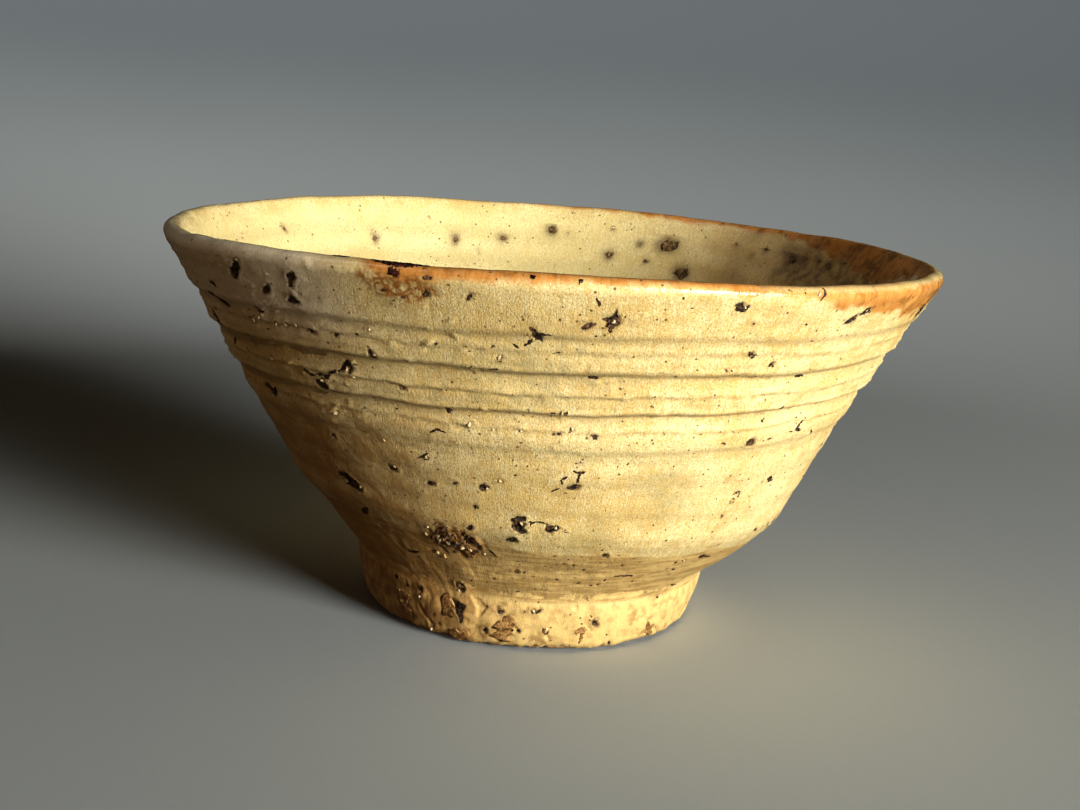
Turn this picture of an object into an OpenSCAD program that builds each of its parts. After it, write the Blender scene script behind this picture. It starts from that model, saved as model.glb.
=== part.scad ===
// A tea bowl of sandy clay under a pale yellow glaze, on a trimmed foot ring.
// The clay, the glaze coats and the stones that burst through them are
// separate solids that meet face to face. Lengths are in millimetres. The
// origin is the centre of the ring the bowl stands on, and +Z points up to
// the mouth. Angles start at the front (-Y) and grow towards the right (+X).

/* [Bowl] */
// Width across the outside of the lip
mouth_d = 143; // [136:1:150]
// Height from the foot to the top of the lip
bowl_h = 72; // [69:1:76]
// Thickness of the lip, glaze included
lip_t = 3; // [2.6:0.1:3.4]
// Lean of the wall at the lip, in degrees from upright
lip_lean = 30; // [26:1:33]

/* [Hip] */
// Width at the hip, where the wall turns in to the foot
hip_d = 92.8; // [88:0.2:96]
// Height of the hip
hip_h = 23.8; // [22:0.2:25]

/* [Foot] */
// Width of the foot where it stands
foot_d = 62; // [58:1:66]
// Height of the outside of the foot
foot_h = 10; // [9:0.5:11]
// Width of the hollow under the bowl, inside the foot ring
well_d = 46; // [42:1:48]
// Depth of that hollow
well_depth = 7.5; // [6:0.5:8]

/* [Inside] */
// Height of the inside floor above the table
floor_h = 13.2; // [13:0.2:15]
// Width of the flat part of the inside floor
floor_d = 40; // [34:1:44]
// Depth of the shallow pool in the middle of the floor
pool_depth = 0.6; // [0.3:0.1:1]

/* [Glaze] */
// Thickness of the glaze on the wall, inside and out
glaze_t = 0.6; // [0.5:0.1:0.8]
// Thickness of the thin glaze on the trimmed skirt below the hip
skirt_t = 0.3; // [0.2:0.1:0.4]
// How far the stones stand out of the glaze
proud = 0.2; // [0.1:0.1:0.4]
// Height of the iron-flushed band on the outside of the lip
flush_h = 3; // [2:0.5:4]

/* [Hidden] */
$fn = 48;

lip_r = mouth_d / 2;
hip_r = hip_d / 2;
foot_r = foot_d / 2;
well_r = well_d / 2;
floor_r = floor_d / 2;
lip_round = lip_t / 2;
lip_centre = [lip_r - lip_round, bowl_h - lip_round];
foot_lean = 2.6;
neck_r = foot_r + foot_lean;
edge = 0.8;
curve_steps = 14;
arc_steps = 8;
reach = lip_r + 10;
nub_r = 7;
nub_drop = 1.3;

// How far the handles of the section's curves reach: from the hip and from
// the neck as [out, up], and down the wall from the lip, outside and inside.
hip_pull = [6.8, 13.4];
neck_pull = [0.4, 1.8];
skirt_pull = [2, 2.4];
lip_pull = 12;
inside_pull = 16;
floor_pull = 18;

// Width of the step from the floor down to its pool, and the radius at which
// the rods and prisms that cut the coats begin.
pool_step = 4;
rod_start = 20;

// Angle, height and radius of each round burst in the outside glaze.
BURSTS = [
    [-56, 61.3, 2.2], [-54, 64.3, 0.9], [-39.5, 65.2, 1.3], [-35, 64.3, 1.1], [-34, 59.2, 0.9],
    [-24, 57, 0.7], [-29, 53.6, 1.4], [-52.5, 45.3, 1.6], [-20, 52, 0.7], [-14, 48.6, 0.8],
    [-27, 34.8, 1.0], [-19, 33.1, 0.9], [-14.3, 34, 0.6], [-8.7, 34, 1.1], [-40, 28.5, 2.3],
    [-2, 27, 1.6], [5.3, 64.8, 0.8], [8, 65.6, 1.4], [7, 56, 0.7], [3.5, 46.2, 0.8],
    [36.5, 44.5, 1.0], [48, 45.8, 0.8], [39, 50.6, 0.8], [32.3, 59.1, 0.7], [28.5, 60.8, 0.7],
    [40.5, 33.8, 1.1], [49, 36.2, 1.0], [16.5, 25.8, 0.7], [120, 58, 1.4], [165, 43, 1.2],
    [-150, 62, 1.6], [-110, 50, 1.3], [95, 36, 1.1], [-85, 40, 1.5], [150, 30, 1.3], [-130, 33, 1.1]
];

// Each leg of a crack: start angle and height, end angle and height, width.
CRACK_LEGS = [
    [-39, 51.6, -36, 50.8, 0.8], [-36, 50.8, -33, 48.3, 0.8], [-35.4, 51.2, -31, 53, 0.8],
    [-1.6, 63.4, -0.6, 62.2, 0.9], [-0.6, 62.8, 0.6, 63, 0.6], [-0.9, 62.4, -2.6, 60.8, 0.5],
    [7.4, 39.3, 7, 36.2, 0.6], [5.2, 38.2, 4.6, 36.4, 0.5], [3, 34.8, 4.3, 35.6, 0.5],
    [1, 28, 3.6, 27.4, 0.5], [-17, 44.5, -15.6, 45, 0.6], [-15.6, 45, -14.3, 44.7, 0.6],
    [3, 50.4, 4, 49.6, 0.6], [135, 51, 139, 49.5, 0.7], [-100, 57, -97, 59, 0.7]
];

// Angle, height and radius of each dark spot on the inside glaze.
INSIDE_SPOTS = [
    [156, 65, 1.4], [152, 60, 1.2], [168, 62, 0.8], [180, 66, 0.8], [-170, 64, 0.7],
    [-160, 63, 0.8], [-142, 63, 0.7], [-120, 66, 0.6], [128, 66, 1], [88, 62, 1],
    [75, 60, 0.9], [60, 52, 1], [20, 40, 0.9], [-30, 48, 1.1]
];

// Angle, height and radius of each pale grain of stone in the outside glaze.
GRITS = [
    [-47.5, 58.8, 1.1], [-41, 59.2, 0.5], [-39, 59.2, 0.5], [-37, 59.3, 0.6], [-46.8, 52.2, 0.7],
    [-35, 44.5, 0.9], [-26.5, 40.8, 0.6], [-12, 39, 0.5], [5, 46.8, 0.5], [62, 58, 0.9], [100, 46, 0.8],
    [140, 62, 0.7], [-160, 38, 0.9], [-120, 44, 0.8]
];

// The rough patch below the hip: its angle and height, then the place and
// radius of each of the rounds that it is made of, measured from there.
patch_angle = -16.5;
patch_z = 19.6;
PATCH_ROUNDS = [[0, 0, 2.6], [-2.6, 0.4, 2.2], [2.8, -0.2, 2]];

// The scar in the lip: its angle, its width and how far it reaches down.
scar_angle = -16.5;
scar_w = 6;
scar_drop = 2.4;

// Runs of brown glaze on the foot: angle, top height, bottom height, width.
RUNS = [[-7, 7.2, 2, 3], [-24, 8.6, 3, 4], [44, 6, 2, 2.4], [130, 8, 3, 3], [-140, 7.5, 2.5, 3.4]];

function flip(path) = [for (i = [len(path) - 1:-1:0]) path[i]];

// The points of a cubic curve, its two ends included.
function curve(a, b, c, d, steps = curve_steps) = [
    for (i = [0:steps])
        let (t = i / steps, s = 1 - t)
        a * s * s * s + b * 3 * s * s * t + c * 3 * s * t * t + d * t * t * t
];

function arc(centre, r, from, to, steps = arc_steps) = [
    for (i = [0:steps])
        let (a = from + (to - from) * i / steps)
        centre + r * [cos(a), sin(a)]
];

function inset(path, t) = [for (p = path) p - [t, 0]];

// A point of the lip's round edge, t below the surface of the glaze.
function lip_point(a, t) = lip_centre + (lip_round - t) * [cos(a), sin(a)];

// Unit vector up the wall at the lip.
up_wall = [sin(lip_lean), cos(lip_lean)];

// The point where the flushed band on the lip ends, outside and inside.
function flush_outside(t) = lip_point(-lip_lean, t) - flush_h * up_wall;
function flush_inside(t) = lip_point(180 - lip_lean, t) - (flush_h + 1) * up_wall;

// The outside of the wall, from the hip up to the flushed band.
function wall_path(t) = curve(
    [hip_r - t, hip_h], [hip_r - t, hip_h] + hip_pull,
    flush_outside(t) - lip_pull * up_wall, flush_outside(t)
);

// The trimmed skirt, from the neck of the foot out to the hip.
function skirt_path(t) = inset(curve(
    [neck_r, foot_h], [neck_r, foot_h] + neck_pull,
    [neck_r, foot_h] + skirt_pull, [hip_r, hip_h]
), t);

// The round top of the lip, from the outside to the inside.
function lip_path(t) = arc(lip_centre, lip_round - t, -lip_lean, 180 - lip_lean);

// The inside, from the flushed band down to the middle of the floor.
function inside_path(t) = concat(
    curve(
        flush_inside(t), flush_inside(t) - inside_pull * up_wall,
        [floor_r + floor_pull, floor_h - t], [floor_r, floor_h - t]
    ),
    [[floor_r - pool_step, floor_h - t - pool_depth / 2], [0, floor_h - t - pool_depth]]
);

// The underside of the clay between the middle and the foot's inner edge.
underside = [[0, well_depth - nub_drop], [nub_r / 2, well_depth - nub_drop * 0.7], [nub_r, well_depth]];

function wall_r(z) = lookup(z, [[0, foot_r], [foot_h, neck_r], [hip_h, hip_r], [bowl_h, lip_r]]);

module turned(near, far) {
    rotate_extrude($fn = 160) polygon(concat(near, flip(far)));
}

// A straight rod pointing outwards, which cuts a round patch out of a coat.
module rod(a, z, r) {
    rotate([0, 0, a]) translate([0, -rod_start, z]) rotate([90, 0, 0]) cylinder(r = r, h = reach - rod_start);
}

module rods(list) {
    for (s = list) rod(s[0], s[1], s[2]);
}

// An outline on the face of the bowl, carried outwards as a prism. Its x runs
// round the bowl from angle a, and its y is height.
module prism(a) {
    rotate([0, 0, a]) translate([0, -rod_start, 0]) rotate([90, 0, 0])
        linear_extrude(reach - rod_start) children();
}

module crack_leg(leg) {
    middle = (leg[0] + leg[2]) / 2;
    scale_round = wall_r((leg[1] + leg[3]) / 2) * PI / 180;
    start = [(leg[0] - middle) * scale_round, leg[1]];
    run = [(leg[2] - leg[0]) * scale_round, leg[3] - leg[1]];
    prism(middle) translate(start) rotate(atan2(run[1], run[0])) {
        translate([0, -leg[4] / 2]) square([norm(run), leg[4]]);
        circle(d = leg[4]);
        translate([norm(run), 0]) circle(d = leg[4]);
    }
}

module crack_legs() {
    for (leg = CRACK_LEGS) crack_leg(leg);
}

module patch_outline() {
    prism(patch_angle) translate([0, patch_z]) {
        for (p = PATCH_ROUNDS) translate([p[0], p[1]]) circle(r = p[2]);
    }
}

module run_outlines() {
    for (r = RUNS) prism(r[0]) {
        translate([-r[3] / 2, r[2]]) square([r[3], r[1] - r[2]]);
        translate([0, r[2]]) circle(d = r[3]);
    }
}

module scar_outline() {
    prism(scar_angle) translate([-scar_w / 2, bowl_h - scar_drop]) square([scar_w, scar_drop + 1]);
}

// The thrown wall and floor.
module clay_body() {
    color("tan") rotate_extrude($fn = 160) polygon(concat(
        underside, [[well_r, well_depth]],
        skirt_path(glaze_t), wall_path(glaze_t), [lip_point(-lip_lean, glaze_t)],
        lip_path(glaze_t), inside_path(glaze_t)
    ));
}

// The trimmed ring that the bowl stands on.
module foot_ring() {
    color("burlywood") rotate_extrude($fn = 160) polygon([
        [well_r + edge, 0], [foot_r - glaze_t - edge, 0], [foot_r - glaze_t, edge],
        [neck_r - glaze_t, foot_h], [well_r, well_depth], [well_r, edge]
    ]);
}

module outer_glaze() {
    color("khaki") difference() {
        turned(wall_path(glaze_t), wall_path(0));
        rods(BURSTS);
        rods(GRITS);
        crack_legs();
    }
}

module inner_glaze() {
    color("palegoldenrod") difference() {
        turned(inside_path(0), inside_path(glaze_t));
        rods(INSIDE_SPOTS);
    }
}

// The band of glaze over the lip, flushed orange by iron.
module lip_band() {
    turned(
        concat([flush_outside(0)], lip_path(0), [flush_inside(0)]),
        concat([flush_outside(glaze_t)], lip_path(glaze_t), [flush_inside(glaze_t)])
    );
}

module lip_glaze() {
    color("sandybrown") difference() {
        lip_band();
        scar_outline();
    }
}

// The dark iron scar in the lip's glaze.
module lip_scar() {
    color("saddlebrown") intersection() {
        lip_band();
        scar_outline();
    }
}

module skirt_coat(thick) {
    turned(skirt_path(glaze_t), skirt_path(glaze_t - thick));
}

module skirt_glaze() {
    color("darkkhaki") difference() {
        skirt_coat(skirt_t);
        patch_outline();
    }
}

// The rough patch of brown grit below the hip.
module gritty_patch() {
    color("sienna") intersection() {
        skirt_coat(glaze_t);
        patch_outline();
    }
}

module foot_coat(thick) {
    low = 2 * edge;
    low_r = foot_r + foot_lean * low / foot_h;
    side = [[low_r, low], [neck_r, foot_h]];
    turned(inset(side, glaze_t), inset(side, glaze_t - thick));
}

module foot_glaze() {
    color("wheat") difference() {
        foot_coat(glaze_t * 0.7);
        run_outlines();
    }
}

// Runs of darker glaze over the foot.
module foot_runs() {
    color("peru") intersection() {
        foot_coat(glaze_t);
        run_outlines();
    }
}

// The space in the wall's glaze that stones fill, a little proud of it.
module stone_layer() {
    turned(wall_path(glaze_t), wall_path(-proud));
}

module iron_bursts() {
    color("black") intersection() {
        stone_layer();
        rods(BURSTS);
    }
}

module iron_cracks() {
    color("dimgray") intersection() {
        stone_layer();
        crack_legs();
    }
}

module stone_grits() {
    color("ivory") intersection() {
        stone_layer();
        rods(GRITS);
    }
}

module inside_spots() {
    color("darkolivegreen") intersection() {
        turned(inside_path(-proud), inside_path(glaze_t));
        rods(INSIDE_SPOTS);
    }
}

clay_body();
foot_ring();
outer_glaze();
inner_glaze();
lip_glaze();
skirt_glaze();
foot_glaze();
iron_bursts();
iron_cracks();
inside_spots();
stone_grits();
gritty_patch();
foot_runs();
lip_scar();
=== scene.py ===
import math

import bpy
import numpy as np
from mathutils import Matrix, Vector


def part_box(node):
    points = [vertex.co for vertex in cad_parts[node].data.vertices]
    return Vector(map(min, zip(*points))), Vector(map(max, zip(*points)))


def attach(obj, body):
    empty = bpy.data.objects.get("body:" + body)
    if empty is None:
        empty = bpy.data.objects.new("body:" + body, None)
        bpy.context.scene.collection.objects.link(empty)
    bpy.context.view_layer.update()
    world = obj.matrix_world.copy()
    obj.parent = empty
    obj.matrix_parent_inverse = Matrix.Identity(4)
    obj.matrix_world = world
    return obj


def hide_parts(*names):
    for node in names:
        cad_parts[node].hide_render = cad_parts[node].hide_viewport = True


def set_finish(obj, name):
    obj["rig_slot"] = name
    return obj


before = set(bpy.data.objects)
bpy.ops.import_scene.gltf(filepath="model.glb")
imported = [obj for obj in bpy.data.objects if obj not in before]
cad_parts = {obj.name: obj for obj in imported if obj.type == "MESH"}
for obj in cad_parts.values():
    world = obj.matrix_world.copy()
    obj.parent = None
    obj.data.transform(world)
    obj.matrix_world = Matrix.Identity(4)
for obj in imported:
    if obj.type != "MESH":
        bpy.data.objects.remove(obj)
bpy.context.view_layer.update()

# A hand-thrown tea bowl. Shapes are worked out in millimetres and turned into
# metres when a mesh is made. theta is the angle round the bowl, 0 at the front
# (-Y) and growing towards the right (+X), in degrees in the lists and in
# radians in the functions. s is the distance along the bowl's profile, which
# runs up the outside from the foot, over the lip and down the inside.

MM = 0.001
TURN = 2 * math.pi

# Thicknesses in mm: the glaze on the wall, the thinner coats on the skirt and
# the foot, and the gap that keeps the clay behind the glaze.
GLAZE = 0.6
THIN_COAT = 0.4
CLAY_GAP = 0.12

# How finely the skin is cut: points round each coat, and rows up the wall and
# down the inside.
COLUMNS = 880
COAT_ROWS = 103


# ---- sizes

def box_mm(node):
    low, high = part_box(node)
    return np.array(low) / MM, np.array(high) / MM


LIP_R = box_mm("lip_glaze")[1][0]
TOP = box_mm("lip_glaze")[1][2]
NECK_R = box_mm("foot_glaze")[1][0]
NECK_Z = box_mm("foot_glaze")[1][2]
HIP_Z = box_mm("outer_glaze")[0][2]
HIP_R = box_mm("skirt_glaze")[1][0] + 0.3
FOOT_R = NECK_R - 2.4
WELL_R = NECK_R * 0.69
NUB_R = 7.0
NUB_Z = box_mm("clay_body")[0][2]
WELL_Z = NUB_Z + 1.3
FLOOR_Z = box_mm("inner_glaze")[0][2] + 2 * GLAZE
POOL_R = 16.0
LIP_ROUND = 1.5
BAND_OUTSIDE = 3.0
BAND_INSIDE = 4.0
LEAN = math.radians(30)


# ---- helpers

def smooth(x):
    """0 below 0, 1 above 1, and an even ease between."""
    x = np.clip(x, 0, 1)
    return x * x * (3 - 2 * x)


def hump(x, centre, width):
    return np.exp(-((x - centre) / width) ** 2)


def angles_round(count):
    """Evenly spaced angles once round the bowl, starting behind it."""
    return np.linspace(-math.pi, math.pi, count, endpoint=False)


def ring_points(theta, r, z):
    """Points at radius r and height z, theta round from the front."""
    return np.stack([r * np.sin(theta), -r * np.cos(theta), z], -1)


def round_table(pairs, theta):
    """A value round the bowl from (degrees, value) pairs, joined smoothly."""
    angles = np.radians([a for a, _ in pairs])
    values = np.array([v for _, v in pairs], float)
    return np.interp(theta, angles, values, period=TURN)


# Large primes that mix a cell's place into a number.
PRIMES = (73856093, 19349663, 83492791)


def hashed(cell, seed):
    """A fixed number from -1 to 1 for each whole-number cell."""
    x, y, z = (cell[..., k] * PRIMES[k] for k in range(3))
    n = x ^ y ^ z ^ (seed * 2654435)
    n = (n ^ (n >> 13)) * 1274126177 & 0x7FFFFFFF
    n = (n ^ (n >> 16)) & 0xFFFF
    return n / 32767.5 - 1


# A fixed turn that keeps the noise's cells from lining up with the bowl.
AWRY = np.array([[0.36, 0.48, -0.8], [-0.8, 0.6, 0.0], [0.48, 0.64, 0.6]])


def noise(points, seed):
    """Smooth noise from -1 to 1 with about one unit to a cell."""
    points = points @ AWRY
    cell = np.floor(points).astype(np.int64)
    f = points - cell
    f = f * f * (3 - 2 * f)
    total = 0
    for corner in range(8):
        step = np.array([corner & 1, corner >> 1 & 1, corner >> 2 & 1])
        weight = np.prod(np.where(step == 1, f, 1 - f), axis=-1)
        total = total + weight * hashed(cell + step, seed)
    return total


def round_noise(theta, along, size, seed, stretch=1.0):
    """Noise on the bowl's skin. size is a cell in mm, which is stretch times longer round the bowl."""
    wide = 60.0 / (size * stretch)
    points = np.stack([wide * np.sin(theta), wide * np.cos(theta), along / size], -1)
    return noise(points, seed)


def rough_noise(theta, along, size, seed, stretch=1.0, octaves=3):
    total = 0
    for k in range(octaves):
        total = total + round_noise(theta, along, size / 2 ** k, seed + k, stretch) / 2 ** k
    return total


# ---- the profile

def bezier(a, b, c, d, steps):
    t = np.linspace(0, 1, steps + 1)[:, None]
    a, b, c, d = (np.array(p, float) for p in (a, b, c, d))
    return a * (1 - t) ** 3 + 3 * b * (1 - t) ** 2 * t + 3 * c * (1 - t) * t * t + d * t ** 3


UP_WALL = np.array([math.sin(LEAN), math.cos(LEAN)])
LIP_CENTRE = np.array([LIP_R - LIP_ROUND, TOP - LIP_ROUND])
LIP_OUT = LIP_CENTRE + LIP_ROUND * np.array([math.cos(LEAN), -math.sin(LEAN)])
LIP_IN = LIP_CENTRE - LIP_ROUND * np.array([math.cos(LEAN), -math.sin(LEAN)])
BAND_OUT = LIP_OUT - BAND_OUTSIDE * UP_WALL
BAND_IN = LIP_IN - BAND_INSIDE * UP_WALL

FOOT_SIDE = bezier(
    [FOOT_R, 0.4], [FOOT_R + 1.3, 3.2], [NECK_R, NECK_Z - 3], [NECK_R + 0.1, NECK_Z], 60
)
SKIRT = bezier(
    FOOT_SIDE[-1], [NECK_R + 0.3, NECK_Z + 2.0], [NECK_R + 2.2, NECK_Z + 2.6], [HIP_R, HIP_Z], 90
)
WALL = bezier(SKIRT[-1], [HIP_R + 6.8, HIP_Z + 13.4], BAND_OUT - 12 * UP_WALL, BAND_OUT, 260)
LIP_ANGLES = np.linspace(-LEAN, math.pi - LEAN, 60)
LIP_ARC = LIP_CENTRE + LIP_ROUND * np.stack([np.cos(LIP_ANGLES), np.sin(LIP_ANGLES)], -1)
INSIDE = np.vstack([
    bezier(BAND_IN, BAND_IN - 16 * UP_WALL, [38.0, FLOOR_Z], [20.0, FLOOR_Z], 300),
    bezier(
        [19.0, FLOOR_Z - 0.05], [POOL_R, FLOOR_Z - 0.1], [POOL_R - 3, FLOOR_Z - 0.6],
        [0.4, FLOOR_Z - 0.7], 60
    ),
])
PROFILE = np.vstack([FOOT_SIDE, SKIRT[1:], WALL[1:], LIP_ARC, INSIDE])
STEPS = np.linalg.norm(np.diff(PROFILE, axis=0), axis=1)
ALONG = np.concatenate([[0], np.cumsum(STEPS)])
TANGENT = np.gradient(PROFILE, ALONG, axis=0)
TANGENT /= np.linalg.norm(TANGENT, axis=1)[:, None]

S_NECK = ALONG[len(FOOT_SIDE) - 1]
S_HIP = ALONG[len(FOOT_SIDE) + len(SKIRT) - 2]
S_BAND_OUT = ALONG[len(FOOT_SIDE) + len(SKIRT) + len(WALL) - 3]
S_TOP = ALONG[np.argmax(PROFILE[:, 1])]
S_BAND_IN = ALONG[len(PROFILE) - len(INSIDE)]
S_END = ALONG[-1]
OUTSIDE = ALONG <= S_TOP


def at_height(z):
    """The distance s of a height on the outside."""
    return np.interp(z, PROFILE[OUTSIDE, 1], ALONG[OUTSIDE])


def below_rim(depth):
    """The distance s of a depth below the rim on the inside."""
    inside = ALONG >= S_TOP
    return np.interp(depth, TOP - PROFILE[inside, 1], ALONG[inside])


def profile_at(s):
    r, z = (np.interp(s, ALONG, PROFILE[:, k]) for k in (0, 1))
    tr, tz = (np.interp(s, ALONG, TANGENT[:, k]) for k in (0, 1))
    return r, z, tz, -tr


# ---- throwing and trimming marks

# Heights at the front of the ledges that a rising throwing spiral leaves, from
# the lowest turn up, with the depth of each. The first set is the deep ledges
# and the second the fine lines between them.
LEDGES = [
    (24.5, 0), (30.6, 0.12), (36.8, 0.1), (43.2, 0.26), (49.9, 1), (57, 0.85), (63.1, 0.4), (69.5, 0),
    (76, 0),
]
LINES = [
    (28, 0), (34.5, 0.06), (41.2, 0.12), (46.4, 0.22), (52.8, 0.25), (60.2, 0.22), (66.2, 0.04),
    (72, 0),
]


def spiral(theta, turns):
    """The number, height and depth of each turn of a throwing spiral, at theta from -pi to pi."""
    numbers = np.arange(len(turns))
    heights, depths = (np.array([t[k] for t in turns], float) for k in (0, 1))
    for k in numbers[1:-1]:
        at = k + theta / TURN
        yield k, np.interp(at, numbers, heights), np.interp(at, numbers, depths)


def right_side(theta, start, length):
    """0 at the front and left, 1 on the right from start degrees on, and 0 again behind."""
    degrees = np.degrees(theta)
    return smooth((degrees - start) / length) * (1 - smooth((degrees - 120) / 50))


def throwing_rings(theta, z):
    """The relief of the throwing marks in mm, and how dark the glaze is painted under their ledges: glaze
    that gathers there, and painted shade.
    """
    relief_mm, pooled_and_shaded = np.zeros_like(z), np.zeros_like(z)
    crisp = 1 - 0.65 * right_side(theta, -12, 35)
    for k, height, depth in spiral(theta, LEDGES):
        height = height + 0.28 * round_noise(theta, z * 0 + k * 9, 7.0, 11)
        depth = depth * (1 + 0.35 * round_noise(theta, z * 0 + k * 9, 15.0, 12))
        under = height - z
        sharp = np.minimum(smooth(under / 0.75), 1 - smooth((under - 0.75) / 2.4))
        broad = np.minimum(smooth(under / 1.4), 1 - smooth((under - 1.4) / 3.8))
        relief_mm += depth * (0.18 * hump(under, -0.35, 0.4) - 0.19 * crisp * sharp - 0.9 * broad)
        pooled_and_shaded += depth * smooth(under / 0.7) * np.exp(-np.maximum(under, 0) / 1.9)
    for k, height, depth in spiral(theta, LINES):
        height = height + 0.3 * round_noise(theta, z * 0 + k * 7, 4.0, 13)
        lumps = 1 + 0.9 * round_noise(theta, z * 0 + k * 7, 1.6, 14)
        under = height - z
        line = np.minimum(smooth(under / 0.3), 1 - smooth((under - 0.3) / 1.4))
        relief_mm += depth * lumps * (0.6 * hump(under, -0.3, 0.35) - 0.8 * line)
        pooled_and_shaded += depth * lumps * line
    return relief_mm, pooled_and_shaded


def trimmed_skirt(theta, z):
    """Turned-down clay: uneven steps, dragged grit and short horizontal tears."""
    steps = 0.16 * round_noise(theta, z, 2.4, 21, stretch=14)
    scratches = 0.055 * round_noise(theta, z, 0.6, 22, stretch=26)
    tears = -0.16 * smooth((round_noise(theta, z, 0.9, 23, stretch=4) - 0.6) / 0.25)
    grain = 0.025 * round_noise(theta, z, 0.8, 24)
    return (steps + scratches + tears) * (1 - 0.6 * right_side(theta, 8, 30)) + grain


def foot_lumps(theta, z):
    dents = -0.3 * smooth((round_noise(theta, z, 1.9, 31, stretch=1.6) - 0.55) / 0.3)
    return 0.22 * round_noise(theta, z, 5.0, 32) + 0.04 * round_noise(theta, z, 1.3, 33) + dents


def ripple(distance, theta, pitch):
    """A spiral groove: a wave of distance that moves on by one pitch in a turn."""
    return np.sin((distance - pitch * theta / TURN) * TURN / pitch)


def turning_marks(theta, s):
    """The spiral that turning leaves on the inside wall and the floor, in mm."""
    r, z = (np.interp(s, ALONG, PROFILE[:, k]) for k in (0, 1))
    wall = 0.22 * ripple(z, theta, 6.5) * smooth((s - S_TOP - 4) / 6)
    floor = 0.25 * ripple(r, theta, 5.0) * smooth((S_END - s) / 5)
    on_floor = smooth((s - below_rim(TOP - FLOOR_Z - 2.0)) / 10)
    return wall * (1 - on_floor) + floor * on_floor


# The rough patch below the hip on the front left: its angle and its height.
GRIT_ANGLE = -17.0
GRIT_Z = 20.8
GRIT_STONES = 130


def grit_patch(theta, z):
    """1 inside the rough patch, 0 outside it."""
    across = (np.degrees(theta) - GRIT_ANGLE) / 7.5
    up = (z - GRIT_Z) / 3.6
    edge = 0.35 * round_noise(theta, z, 1.8, 41)
    return smooth((1.15 + edge - np.hypot(across, up)) / 0.4)


def on_foot(z):
    """1 on the foot, 0 above its neck."""
    return 1 - smooth((z - NECK_Z + 0.6) / 1.2)


def hip_edge(theta, z):
    """1 where the thick wall glaze is, 0 on the thinly glazed skirt."""
    edge = HIP_Z - 2.8 + 0.55 * round_noise(theta, z * 0, 9.0, 42)
    edge = edge + 0.25 * round_noise(theta, z * 0, 2.5, 43)
    return smooth((z - edge) / 1.0)


def relief(theta, s):
    """How far the skin stands out of the plain turned profile, in mm."""
    z = np.interp(s, ALONG, PROFILE[:, 1])
    outside = smooth((S_TOP - s) / 2.0)
    inside = 1 - outside
    wall = hip_edge(theta, z)
    foot = on_foot(z)
    skirt = (1 - wall) * (1 - foot)
    fade = 1 - 0.85 * smooth((z - TOP + 4.5) / 3)
    out = wall * (throwing_rings(theta, z)[0] * fade + 0.35 * smooth((z - HIP_Z) / 2))
    out = out + skirt * trimmed_skirt(theta, z) + foot * foot_lumps(theta, z)
    out = out + 0.3 * grit_patch(theta, z) * rough_noise(theta, z, 1.5, 44)
    lumps = 0.14 * round_noise(theta, s, 9.0, 45) + 0.07 * round_noise(theta, s, 3.0, 46)
    pimples = 0.2 * smooth((round_noise(theta, s, 1.3, 49) - 0.58) / 0.3)
    pimples = pimples * smooth((z - 36) / 12) * outside
    grain = (0.035 * round_noise(theta, s, 1.0, 47) + pimples) * (1 - 0.7 * hump(s, S_TOP, 5))
    lip = -0.14 * hump(s, S_TOP, 3) * smooth(round_noise(theta, s * 0, 6.0, 48) * 1.5)
    return outside * out + inside * turning_marks(theta, s) + lumps + grain + lip


def settle(theta, r, z):
    """Moves points by the lean and sag of the hand-thrown shape, which isn't quite round or level."""
    tilt = 0.4 - 2.4 * np.sin(theta) + 0.7 * np.cos(theta) + 0.4 * np.cos(2 * theta)
    hip = smooth((z - NECK_Z - 0.5) / 8) * (1 - smooth((z - 25) / 22))
    neck = hump(z, NECK_Z + 0.5, 3.2) * smooth(z / 4)
    high = smooth((z - 35) / 37)
    rim = 0.15 * np.cos(theta) + 0.37 * np.cos(2 * theta) - 0.65
    rim = rim + 0.25 * np.sin(2 * theta + 0.6) + 0.2 * np.sin(3 * theta + 2.1)
    rim = rim + 0.12 * np.sin(7 * theta)
    new_z = z + tilt * hip - 0.7 * np.sin(theta) * neck + rim * high
    oval = 0.4 * np.cos(2 * theta) + 0.5 * np.sin(theta) - 0.3 + 0.15 * np.sin(5 * theta + 1)
    new_r = r + oval * smooth(z / 60)
    return new_r, new_z


def surface(theta, s, lift=0.0):
    """Points of the bowl's skin, in mm, lift above it."""
    r, z, out_r, out_z = profile_at(s)
    rise = relief(theta, s) + lift
    r, z = settle(theta, r + out_r * rise, z + out_z * rise)
    return ring_points(theta, r, z)


# ---- stones, cracks and stains

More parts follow.
